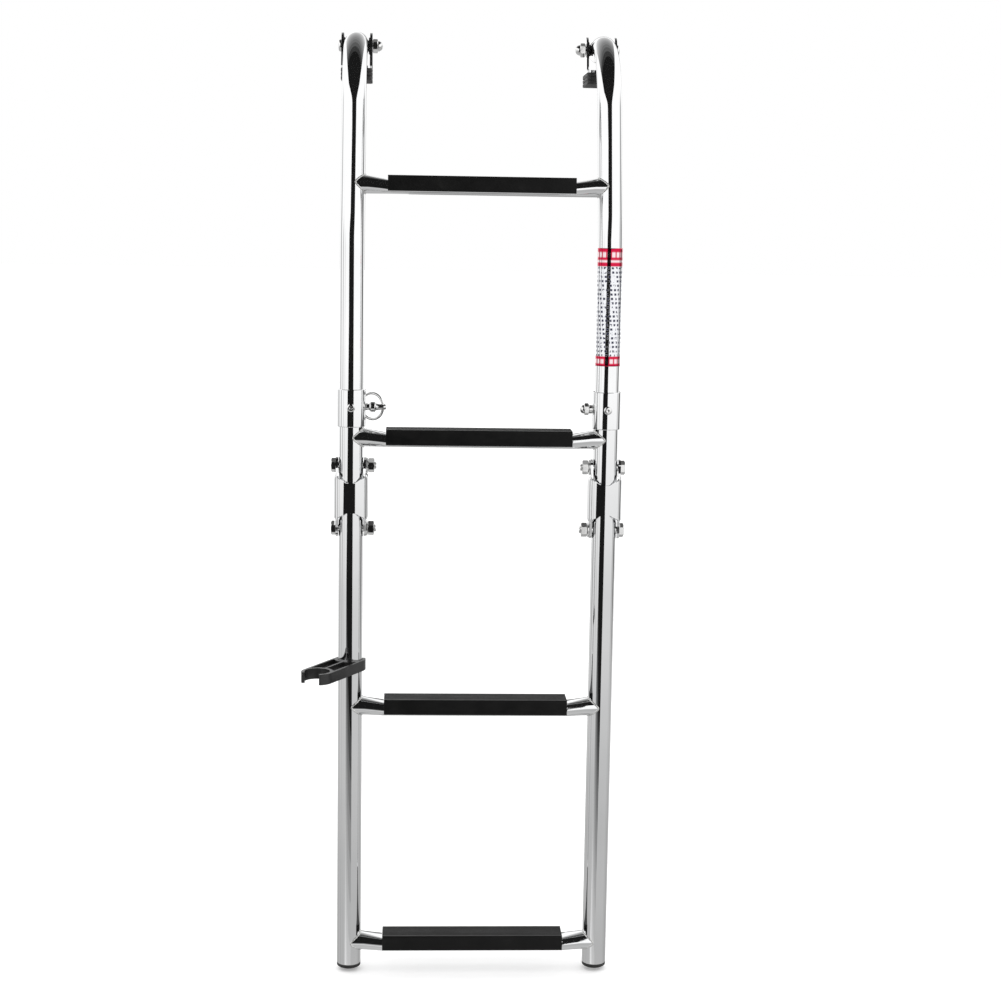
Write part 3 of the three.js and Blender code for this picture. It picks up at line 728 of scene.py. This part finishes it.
def make_hinge_fasteners(label, side):
    axis = middle(f"{label}_lower_rail")
    for level in ("upper", "lower"):
        base = f"{label}_{level}_hinge"
        point = middle(f"{base}_nut")
        place = sideways(side, (axis.x, point.y, point.z))
        bolt, nut, ring = (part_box(f"{base}_{part}") for part in ("bolt", "nut", "washer"))
        span = [sorted(abs(corner.x - axis.x) * 1000 for corner in box) for box in (nut, ring)]
        (nut_low, nut_high), (ring_low, ring_high) = span
        reach = [-side * (corner.x - axis.x) * 1000 for corner in bolt]
        bolt_mesh = hex_bolt(place, min(reach), head=4.8, end=max(reach), thread_from=nut_low - 2)
        stand_in(f"{base}_bolt", bolt_mesh)
        stand_in(f"{base}_nut", hex_nut(place, nut_low, nut_high))
        stand_in(f"{base}_washer", washer(place, ring_low, ring_high))


def bush_mesh(place, way):
    """Shouldered bush between a rail and a bracket ear, on one side of the rail."""
    bore, barrel, flange = BOLT_R + 0.15, 6.0, 9.0
    inner, shoulder, outer = 10.6, 12.8, 13.95
    outline = [(bore, inner), (barrel, inner), (barrel, shoulder), (flange, shoulder), (flange, outer),
               (bore, outer)]
    profile = rounded([(r, way * h) for r, h in outline], [0.2, 0.3, 0, 0.3, 0.3, 0.2], 3)
    return turned("pivot_bush", profile, place, 48, hollow=True)


def make_pivot(label, side):
    axis = middle(f"{label}_lower_rail")
    point = middle(f"{label}_pivot_nut")
    face = 16.9  # from the rail's axis to the outside of an ear
    place = sideways(side, (axis.x, point.y, point.z))
    flipped = place @ Matrix.Translation((0, 0, -face)) @ Matrix.Rotation(math.pi, 4, "X")
    stand_in(f"{label}_pivot_bolt", socket_head("pivot_bolt", flipped, domed(6.5, 3.3, 3.6), socket=2.35,
                                                depth=2.0, shank=BOLT_R, length=2 * face + 6))
    nut = cap_nut("pivot_nut", place, HEX_FLAT, face, base=5.6, dome_r=5.5, dome_h=5.2)
    stand_in(f"{label}_pivot_nut", nut)
    stand_in(f"{label}_outer_pivot_bush", bush_mesh(place, -1))
    stand_in(f"{label}_inner_pivot_bush", bush_mesh(place, 1))


# ---- hinge channel ------------------------------------------------------------------------------
SHELL = {"side": 16.5, "front": -14.5, "crown_r": 25.0, "crown_turn": math.radians(22), "web": 15.7,
         "flat": 4.5, "rise": 0.6, "flank": 21.75, "t": 2.3}
EAR = {"x": 14.5, "r": 8.8, "crank_from": 20.5, "crank_to": 25.0}


def channel_path(u):
    """Mid-line of the bent sheet seen from above, from the middle of the crowned web (u = 0) round a
    tighter corner to the rear edge of one ear (u = 1)."""
    r, turn = SHELL["crown_r"], SHELL["crown_turn"]
    corner_r = (SHELL["side"] - r * math.sin(turn)) / (1 - math.sin(turn))
    corner = Vector(((r - corner_r) * math.sin(turn), SHELL["front"] + r - (r - corner_r) * math.cos(turn)))
    lengths = [r * turn, corner_r * (math.pi / 2 - turn), EAR["r"] - corner.y]
    s = u * sum(lengths)
    if s <= lengths[0]:
        return r * math.sin(s / r), SHELL["front"] + r * (1 - math.cos(s / r))
    s -= lengths[0]
    if s <= lengths[1]:
        a = turn + s / corner_r
        return corner.x + corner_r * math.sin(a), corner.y - corner_r * math.cos(a)
    return SHELL["side"], corner.y + s - lengths[1]


def eased(value, low, high):
    t = min(max((value - low) / (high - low), 0.0), 1.0)
    return t * t * (3 - 2 * t)


def at_ear(y):
    """0 on the web, 1 on the ears."""
    return eased(y, -EAR["r"] - 1.2, -EAR["r"] + 0.5)


def channel_top(x, y):
    """Half-height of the sheet at a place on its mid-line: lowest across the web, rising in a slant
    beside it, and full at the ears."""
    scoop = min(SHELL["web"] + SHELL["rise"] * max(x - SHELL["flat"], 0.0), SHELL["flank"])
    ear = PITCH / 2 + math.sqrt(max(EAR["r"] ** 2 - y ** 2, 0.0))
    return scoop + (ear - scoop) * at_ear(y)


def channel_mesh(place):
    """Pressed sheet hinge link: scooped web in front, cranked in to flat round-ended ears."""
    columns = [k / 56 for k in range(-56, 57)]
    rows = [k / 44 for k in range(-44, 45)]
    grid = []
    for u in columns:
        x, y = channel_path(abs(u))
        top = channel_top(x, y)
        line = []
        for v in rows:
            crank = eased(abs(v * top), EAR["crank_from"], EAR["crank_to"])
            shell_x = x + (EAR["x"] - x) * crank * at_ear(y)
            line.append(place @ Vector((math.copysign(shell_x, u) if u else 0.0, y, v * top)))
        grid.append(line)
    solid = applied(open_sheet("hinge_channel", grid), "SOLIDIFY", thickness=SHELL["t"] * 0.001, offset=0.0,
                    use_even_offset=True)
    return bevelled(solid, 0.4, 3, 50)


def make_hinge_channel(label):
    rail = middle(f"{label}_lower_rail")
    place = upright(rail.x, rail.y, middle(f"{label}_hinge_channel").z)
    stand_in(f"{label}_hinge_channel", channel_mesh(place))


# ---- rungs and treads ---------------------------------------------------------------------------
RUNG = {"end_w": 25.0, "end_h": 19.4, "w": 26.0, "h": 15.0, "flat": 97.5, "taper": 23.0}


def rung_section(x, around=64, inset=0.0):
    """(y, z) points round a rung at distance x from its middle; z is from the rung's underside. It
    is a flattened tube under the tread and opens in straight lines to an oval at the rails."""
    opened = min(max((abs(x) - RUNG["flat"]) / RUNG["taper"], 0.0), 1.0)
    w = RUNG["w"] + (RUNG["end_w"] - RUNG["w"]) * opened - 2 * inset
    h = RUNG["h"] + (RUNG["end_h"] - RUNG["h"]) * opened - 2 * inset
    points = []
    squareness = 2.4
    for k in range(around):
        a = 2 * math.pi * (k + 0.5) / around
        flattened = h / 2 * math.cos(a) + (w - h) / 2 * max(-1.0, min(1.0, math.cos(a) * squareness))
        y = flattened + (w / 2 * math.cos(a) - flattened) * opened
        points.append((y, inset + h / 2 + h / 2 * math.sin(a)))
    return points


def rail_face(y, z, lean, r):
    """Distance of the rail's surface inwards of its axis, for a point (y, z) from that axis."""
    off = y * math.cos(lean) - z * math.sin(lean)
    return math.sqrt(max(r * r - off * off, 0.0))


def coped(half, lean, r, way, around=64):
    """The points where a rung's section meets a cylinder of radius r about the rail."""
    points = []
    for y, z in rung_section(half, around):
        x = half - rail_face(y, z - RUNG["end_h"] / 2, lean, r)
        points.append(Vector((way * x, y, z)))
    return points


def rung_mesh(place, half, lean):
    """Tube pressed flat along its middle and coped to the rails at both ends."""
    sunk = 0.7  # how far the ends reach into the rails
    slope = [RUNG["flat"] - 0.8, RUNG["flat"]]
    slope += [RUNG["flat"] + RUNG["taper"] * k / 6 for k in range(1, 6)]
    stations = [-x for x in reversed(slope)] + [0.0] + slope
    rings = [[Vector((x, y, z)) for y, z in rung_section(x)] for x in stations]
    left, right = (coped(half, lean, TUBE_R - sunk, way) for way in (-1, 1))
    return skin("rung", [[place @ point for point in ring] for ring in (left, *rings, right)])


def weld_mesh(place, half, lean, way):
    """Rippled bead round the seam between a rung and a rail."""
    bead, ripple = 0.85, 0.12
    path = coped(half, lean, TUBE_R, way, 96)
    rings = []
    for i, p in enumerate(path):
        along = (path[(i + 1) % len(path)] - path[i - 1]).normalized()
        out = Vector((0, p.y, p.z - RUNG["end_h"] / 2)).normalized()
        side = along.cross(out).normalized()
        r = bead + ripple * math.sin(2 * math.pi * i / 4)
        rings.append(wire_ring(place, p, out, side, r, 12))
    return skin("weld", rings, cyclic=True, sharp=60)


def tread_mesh(place):
    """Ribbed rubber block with the rung's middle hollowed out of it."""
    half_length, half, top, height = 96.5, 16.0, 19.2, 16.0
    low = top - height
    grooves, pitch, depth = 7, 3.4, 0.55
    wide, narrow = 0.75, 0.4  # half-widths of a groove at its top and floor
    corners = [(half, low), (half, top)]
    radii = [0.8, 1.6]
    for k in range(grooves):
        y = ((grooves - 1) / 2 - k) * pitch
        corners += [(y + wide, top), (y + narrow, top - depth), (y - narrow, top - depth), (y - wide, top)]
        radii += [0.15] * 4
    corners += [(-half, top), (-half, low)]
    radii += [1.6, 0.8]
    body = prism("tread", rounded(corners, radii, 4), -half_length, half_length, place @ ALONG_X)
    hollow = rung_section(0.0, inset=-0.25)
    core = prism("core", hollow, -half_length - 5, half_length + 5, place @ ALONG_X)
    return bevelled(welded_flat(combined(body, "DIFFERENCE", core)), 0.45, 2, 50)


def make_rung(number):
    node = f"rung_{number}"
    low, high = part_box(node)
    axis = middle("right_lower_rail").x * 1000
    lean = LEAN if number == 1 else 0.0
    place = upright(0, (low.y + high.y) / 2, low.z)
    stand_in(node, rung_mesh(place, axis, lean))
    for label, way in SIDES.items():
        bead = weld_mesh(place, axis, lean, way)
        piece(f"{node}_{label}_weld", bead, BODY_OF[node], WELD)
    stand_in(f"tread_{number}", tread_mesh(place))


# ---- deck brackets ------------------------------------------------------------------------------
BRACKET = {"out": 16.6, "in": 14.2, "foot": 20.0, "ear": 14.0, "plate": 32.0, "t": 2.5, "pad": 12.0,
           "hole_y": 26.0, "hole_r": 3.2, "corner": 5.0}


def rounded_block(half_x, half_y, corner):
    return rounded([(-half_x, -half_y), (half_x, -half_y), (half_x, half_y), (-half_x, half_y)], corner, 8)


def ear_outline(low, shoulder, pivot_z):
    """(y, z) outline of a bracket ear: upright to its shoulders, then slanting to a round top."""
    half, r, rise = BRACKET["foot"], BRACKET["ear"], pivot_z - shoulder
    slope = math.atan2(half, rise) + math.asin(r / math.hypot(half, rise)) - math.pi / 2
    steps = 28
    outline = [(-half, low), (half, low), (half, shoulder)]
    for k in range(steps + 1):
        a = -slope + (math.pi + 2 * slope) * k / steps
        outline.append((r * math.cos(a), pivot_z + r * math.sin(a)))
    return outline + [(-half, shoulder)]


def screw_drills(profile, place):
    """A turned cutter for each of the two screw holes."""
    return [turned("hole", profile, place @ Matrix.Translation((0, way * BRACKET["hole_y"], 0)), 40)
            for way in (-1, 1)]


def bracket_mesh(place, pivot_z):
    """Folded plate: a base with two screw holes and two round-topped ears."""
    b = BRACKET
    base = b["pad"] + GAP
    top = base + b["t"]
    above = 80  # well over the ears
    fold = [(-b["out"], base), (b["out"], base), (b["out"], above), (b["in"], above), (b["in"], top),
            (-b["in"], top), (-b["in"], above), (-b["out"], above)]
    fold_round = [3.0, 3.0, 0, 0, 1.0, 1.0, 0, 0]
    folded = prism("fold", rounded(fold, fold_round, 6), -b["foot"], b["foot"], place @ ALONG_Y)
    ears = prism("ears", ear_outline(base - 1, top + 2, pivot_z), -b["out"] - 5, b["out"] + 5,
                 place @ ALONG_X)
    plate = prism("plate", rounded_block(b["out"] - 0.02, b["plate"], b["corner"]), base + 0.02, top - 0.02,
                  place)
    mesh = combined(combined(folded, "INTERSECT", ears), "UNION", plate)
    sink = b["hole_r"] + 2.2
    shank = [(0, base - 3), (b["hole_r"], base - 3), (b["hole_r"], top - 1.6), (sink, top + 0.6),
             (sink, top + 3), (0, top + 3)]
    mesh = welded_flat(combined(mesh, "DIFFERENCE", *screw_drills(shank, place)))
    return bevelled(mesh, 0.35, 3, 50)


def pad_mesh(place):
    """Moulded rubber block with two grooves round it and two countersunk holes."""
    b = BRACKET
    edge = [(0, 0.6), (0.18, 0.18), (0.6, 0)]
    groove = [(-0.9, 0), (-0.5, 0.2), (-0.35, 0.7), (0.35, 0.7), (0.5, 0.2), (0.9, 0)]
    levels = edge + [(at + z, inset) for at in (4, 8) for z, inset in groove]
    levels += [(b["pad"] - z, inset) for z, inset in reversed(edge)]
    rings = []
    for z, inset in levels:
        outline = rounded_block(b["out"] - inset, b["plate"] - inset, b["corner"] - inset)
        rings.append([place @ Vector((x, y, z)) for x, y in outline])
    r, sink = b["hole_r"], b["hole_r"] + 0.5
    drill = [(0, -3), (sink, -3), (sink, 0), (r, 0.5), (r, b["pad"] - 0.5), (sink, b["pad"]), (sink, 20),
             (0, 20)]
    return welded_flat(combined(skin("deck_pad", rings), "DIFFERENCE", *screw_drills(drill, place)))


def make_bracket(label):
    place = upright(middle(f"{label}_lower_rail").x, 0)
    pivot_z = middle(f"{label}_pivot_nut").z * 1000
    stand_in(f"{label}_deck_bracket", bracket_mesh(place, pivot_z))
    stand_in(f"{label}_deck_pad", pad_mesh(place))


# ---- ring pin and lock bolt ---------------------------------------------------------------------
COLLAR_WALL = 15.15  # from a rail's axis to the outside of its collar


def ring_pin_mesh(place, hole, tip):
    """Spring-style pin with a waisted knob and an eye near its tip."""
    wall, hub = COLLAR_WALL, 5.4
    profile = [(0, -12.1), (2.2, -12.1), (3.0, -11.3), (3.0, wall), (3.6, wall), (3.8, wall + 0.3),
               (3.8, wall + 1.6), (3.3, wall + 2.2), (3.3, wall + 3.0), (4.6, wall + 4.2)]
    profile += rounded([(4.6, wall + 4.2), (hub, wall + 5.0), (hub, wall + 9.0), (3.7, wall + 10.6),
                        (3.3, wall + 12.5)], [0, 0.4, 0.8, 0.4, 0], 4, closed=False)[1:]
    profile += [(2.9, tip - 1), (2.9, tip + 2.6), (2.5, tip + 3.5), (1.6, tip + 4), (0, tip + 4)]
    drill = turned("hole", [(0, -8), (1.9, -8), (1.9, 8), (0, 8)], hole, 32)
    return welded_flat(combined(turned("ring_pin", profile, place, 48), "DIFFERENCE", drill), 30)


def pull_ring_mesh(hole):
    """Ring of round wire through the pin's eye, standing upright and turned a little to the front."""
    r, wire, angle = 13.5, 1.5, math.radians(32)
    level, up = Vector((math.cos(angle), -math.sin(angle), 0)), Vector((0, 0, 1))
    rings = []
    for a in full_turn(96):
        out = level * math.cos(a) + up * math.sin(a)
        rings.append(wire_ring(hole, level * -r + out * r, out, level.cross(up), wire, 16))
    return skin("pull_ring", rings, cyclic=True)


def make_ring_pin():
    axis = middle("left_mid_rail")
    height = middle("left_ring_pin").z
    tip = 32.0
    hole = upright(axis.x + (tip + 0.6) * 0.001, axis.y, height)
    place = sideways(-1, (axis.x, axis.y, height))
    stand_in("left_ring_pin", ring_pin_mesh(place, hole, tip))
    stand_in("pull_ring", pull_ring_mesh(hole))


def make_lock_bolt():
    axis = middle("right_mid_rail")
    place = sideways(1, (axis.x, axis.y, middle("right_lock_bolt").z))
    wall = COLLAR_WALL
    profile = [(0, -12.1), (2.4, -12.1), (3.0, -11.5), (3.0, wall), (4.3, wall), (4.6, wall + 0.3),
               (4.6, wall + 2.9), (4.3, wall + 3.2), (3.0, wall + 3.2), (3.0, wall + 7.4), (2.4, wall + 8),
               (0, wall + 8)]
    stand_in("right_lock_bolt", turned("lock_bolt", profile, place, 48))
    stand_in("right_lock_nut", cap_nut("lock_nut", place, 5.45, wall + 3.5, base=4.7, dome_r=4.7, dome_h=4.3,
                                       bore=3.2, depth=5.2))


# ---- rail clip ----------------------------------------------------------------------------------
CLIP = {"inner": 13.05, "wall": 3.3, "half": 5.6, "lip": 1.9, "side_t": 2.4, "rib": 1.2, "web": 1.4,
        "mouth": math.radians(46), "angle": math.radians(241)}


def clip_half(sign):
    """Half of one grip's outline, drawn about x = 0 with its mouth towards -x: along the straight
    side of the body, round outside to the lip, and back inside to the middle."""
    outer = CLIP["inner"] + CLIP["wall"]
    end = math.pi - CLIP["mouth"]
    arcs = 22
    points = [(PITCH / 2, outer), (12.0, outer), (4.0, outer)]
    for k in range(1, arcs + 1):
        a = math.pi / 2 + (end - math.pi / 2) * k / arcs
        points.append((outer * math.cos(a), outer * math.sin(a)))
    mid = CLIP["inner"] + CLIP["wall"] / 2
    for k in range(1, 10):
        a = end + math.pi * k / 10
        points.append((mid * math.cos(end) + CLIP["lip"] * math.cos(a),
                       mid * math.sin(end) + CLIP["lip"] * math.sin(a)))
    start = end - 0.06
    for k in range(arcs + 1):
        a = start * (1 - k / arcs)
        points.append((CLIP["inner"] * math.cos(a), CLIP["inner"] * math.sin(a)))
    return [(x, sign * y) for x, y in points]


def pocket_outline():
    """A pocket in the clip's face: its ends follow the backs of the two grips."""
    back = CLIP["inner"] + CLIP["wall"] + 0.4
    y0, y1 = CLIP["rib"], CLIP["inner"] + CLIP["wall"] - CLIP["side_t"]
    steps = 10
    heights = [y0 + (y1 - y0) * k / steps for k in range(steps + 1)]
    near = [(max(math.sqrt(back ** 2 - y ** 2), 10.5), y) for y in heights]
    return near + [(PITCH - x, y) for x, y in reversed(near)]


def clip_mesh(place):
    """Two snap grips on one straight-sided body, with a pair of pockets in both faces."""
    near = clip_half(1) + list(reversed(clip_half(-1)))[1:]
    far = [(PITCH - x, -y) for x, y in near]
    body = prism("rail_clip", near[:-1] + far[:-1], -CLIP["half"], CLIP["half"], place)
    pockets = []
    for low, high in ((CLIP["web"], CLIP["half"] + 3), (-CLIP["half"] - 3, -CLIP["web"])):
        for way in (-1, 1):
            outline = [(x, way * y) for x, y in pocket_outline()]
            pockets.append(prism("pocket", outline, low, high, place))
    return bevelled(welded_flat(combined(body, "DIFFERENCE", *pockets)), 0.5, 3, 45)


def make_clip():
    axis = middle("left_lower_rail")
    place = Matrix.Translation((axis.x, axis.y, middle("rail_clip").z))
    stand_in("rail_clip", clip_mesh(place @ Matrix.Rotation(CLIP["angle"], 4, "Z") @ MM))


# ---- label --------------------------------------------------------------------------------------
def make_label():
    """Thin film wrapped round the front of the right rail, with rounded corners."""
    axis = middle("right_mid_rail")
    low, high = (corner.z * 1000 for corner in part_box("blank_label"))
    half_turn, r, t, corner_r = math.radians(100), TUBE_R + 0.12, 0.1, 3.0
    place = upright(axis.x, axis.y)
    columns = 60
    grid = []
    for k in range(columns + 1):
        a = -half_turn + 2 * half_turn * k / columns
        edge = (half_turn - abs(a)) * r
        cut = corner_r - math.sqrt(corner_r ** 2 - max(corner_r - edge, 0) ** 2)
        heights = [low + cut + (high - low - 2 * cut) * v for v in (0, 0.01, 0.25, 0.5, 0.75, 0.99, 1)]
        grid.append([place @ Vector((r * math.sin(a), -r * math.cos(a), z)) for z in heights])
    stand_in("blank_label", applied(open_sheet("label", grid), "SOLIDIFY", thickness=t * 0.001, offset=1.0))


# ---- the whole ladder ---------------------------------------------------------------------------
for label, side in SIDES.items():
    make_rails(label)
    make_collar(label)
    make_hinge_fasteners(label, side)
    make_pivot(label, side)
    make_hinge_channel(label)
    make_bracket(label)
for number in range(1, 5):
    make_rung(number)
make_ring_pin()
make_lock_bolt()
make_clip()
make_label()


# ---- studio -------------------------------------------------------------------------------------
FLOOR_Z = cad_box[0].z - 0.002
FLOOR_HALF = 30.0

# The studio's dark gap, from the floor up to the ceiling: height, right edge and left edge.
DARK_GAP = [(FLOOR_Z, (0.18, -1.04), (-1.6, -2.0)), (-0.35, (0.18, -1.04), (-1.0, -2.0)),
            (0.1, (0.18, -1.04), (-1.0, -2.0)), (0.5, (0.37, -1.22), (-1.0, -1.95)),
            (0.95, (0.57, -1.42), (-0.5, -1.6))]
CEILING = {"left": -1.1, "right": 0.85, "front": -0.55, "back": 0.1}
DARK = 0.011

# The white tent's brightness up its height, from straight below (-1) to straight above (1).
TENT = [(-1.0, 0.58), (-0.42, 0.49), (-0.3, 0.56), (-0.19, 0.77), (-0.08, 1.16), (0.3, 1.2), (1, 1.2)]
BRIGHT = 1.2
# Its dark seams: degrees round from the front to the right, half-width in degrees, and depth.
SEAMS = [(118, 10.0, 0.9), (-119, 8.0, 0.55), (95, 6.0, 0.4), (-87, 5.0, 0.45), (-65, 3.5, 0.2),
         (172, 9.0, 0.9), (-158, 3.0, 0.5)]


def card(name, corners, shade):
    """A flat card that gives off an even grey light and shows only in reflections."""
    material = bpy.data.materials.new(name)
    material.use_nodes = True
    nodes = Nodes(material.node_tree)
    emission = nodes.add("ShaderNodeEmission")
    nodes.feed(emission.inputs["Color"], (*grey(shade), 1))
    nodes.feed(nodes.add("ShaderNodeOutputMaterial").inputs["Surface"], emission.outputs[0])
    mesh = bpy.data.meshes.new(name)
    mesh.from_pydata(corners, [], [tuple(range(len(corners)))])
    mesh.materials.append(material)
    obj = linked(name, mesh)
    obj.visible_camera = False
    obj.visible_diffuse = False
    obj.visible_shadow = False
    obj.visible_transmission = False


def graded(count, start, end):
    """Evenly spread shades, one for each of a row of cards."""
    return [start + (end - start) * (k + 0.5) / count for k in range(count)]


def make_cards():
    """The dark gap of the studio that the polished tubes mirror: in front, where it pales below the
    floor's level, and overhead, where it pales towards the back."""
    edges = [((*right, z), (*left, z)) for z, right, left in DARK_GAP]
    for k, (low, high) in enumerate(zip(edges, edges[1:])):
        card(f"front_card_{k}", [*low, high[1], high[0]], DARK)
    right_drop, left_drop = 0.065, 0.105
    right, left = DARK_GAP[0][1:]
    for k, shade in enumerate(graded(9, 0.03, 1.0)):
        corners = [(*right, FLOOR_Z - right_drop * (k + 1)), (*left, FLOOR_Z - left_drop * (k + 1)),
                   (*left, FLOOR_Z - left_drop * k), (*right, FLOOR_Z - right_drop * k)]
        card(f"front_card_fade_{k}", corners, shade)
    z = DARK_GAP[-1][0]
    x0, x1, front, back = (CEILING[key] for key in ("left", "right", "front", "back"))
    card("top_card", [(x1, back, z), (x1, front, z), *edges[-1], (x0, front, z), (x0, back, z)], DARK)
    depth = 0.19
    for k, shade in enumerate(graded(12, DARK, 0.85)):
        y0, y1 = back + depth * k, back + depth * (k + 1)
        card(f"top_card_fade_{k}", [(x0, y0, z), (x1, y0, z), (x1, y1, z), (x0, y1, z)], shade)


def make_floor():
    """Plain pale floor, seamless with the background."""
    mesh = bpy.data.meshes.new("floor")
    corners = ((-1, -1), (1, -1), (1, 1), (-1, 1))
    mesh.from_pydata([(x * FLOOR_HALF, y * FLOOR_HALF, FLOOR_Z) for x, y in corners], [], [(0, 1, 2, 3)])
    s = Shader("floor")
    s.set("Base Color", s.ramp(s.noise((3, 3, 3)), (0.3, grey(0.93)), (0.7, grey(0.95))))
    s.set("Roughness", 0.9)
    s.set("Specular IOR Level", 0.0)
    s.set("Emission Color", (1, 1, 1, 1))
    s.set("Emission Strength", 0.2)
    mesh.materials.append(s.material)
    floor = linked("floor", mesh)
    floor.visible_glossy = False


def tent_light(nodes, x, y, z):
    """Strength of the tent's light in a direction: full, but for the dark seams, which fade away
    above and below."""
    azimuth = nodes.maths("ARCTAN2", x, nodes.maths("MULTIPLY", y, -1.0))
    above_low = nodes.ranged(z, -0.26, -0.16, 0.25, 1.0, smooth=True)
    near_level = nodes.maths("MULTIPLY", above_low, nodes.ranged(z, 0.12, 0.34, 1.0, 0.0, smooth=True))
    light = BRIGHT
    for centre, half, depth in SEAMS:
        away = nodes.maths("ABSOLUTE", nodes.maths("SUBTRACT", azimuth, math.radians(centre)))
        inner, outer = math.radians(half * 0.7), math.radians(half * 1.5)
        taken = nodes.ranged(away, inner, outer, depth, 0.0, smooth=True)
        left = nodes.maths("SUBTRACT", 1.0, nodes.maths("MULTIPLY", taken, near_level))
        light = nodes.maths("MULTIPLY", light, left)
    return light


def make_world():
    """White tent all round: paler above, greyer below the horizon, with a few narrow dark seams at the
    sides and behind that give the polished tubes their edge lines from every side."""
    world = bpy.data.worlds.new("studio")
    bpy.context.scene.world = world
    world.use_nodes = True
    nodes = Nodes(world.node_tree)
    split = nodes.add("ShaderNodeSeparateXYZ")
    nodes.feed(split.inputs[0], nodes.add("ShaderNodeTexCoord").outputs["Generated"])
    x, y, z = split.outputs
    soft = nodes.add("ShaderNodeBackground")
    up = nodes.maths("ADD", nodes.maths("MULTIPLY", z, 0.5), 0.5)
    stops = [((height + 1) / 2, grey(shade / BRIGHT)) for height, shade in TENT]
    nodes.feed(soft.inputs["Color"], nodes.ramp(up, *stops))
    nodes.feed(soft.inputs["Strength"], tent_light(nodes, x, y, z))
    white = nodes.add("ShaderNodeBackground")
    nodes.feed(white.inputs["Color"], (1, 1, 1, 1))
    mix = nodes.add("ShaderNodeMixShader")
    seen = nodes.add("ShaderNodeLightPath").outputs["Is Camera Ray"]
    for socket, value in zip(mix.inputs, (seen, soft.outputs[0], white.outputs[0])):
        nodes.feed(socket, value)
    nodes.feed(nodes.add("ShaderNodeOutputWorld").inputs["Surface"], mix.outputs[0])


make_cards()
make_floor()
make_world()
bpy.context.scene.view_settings.view_transform = "Standard"
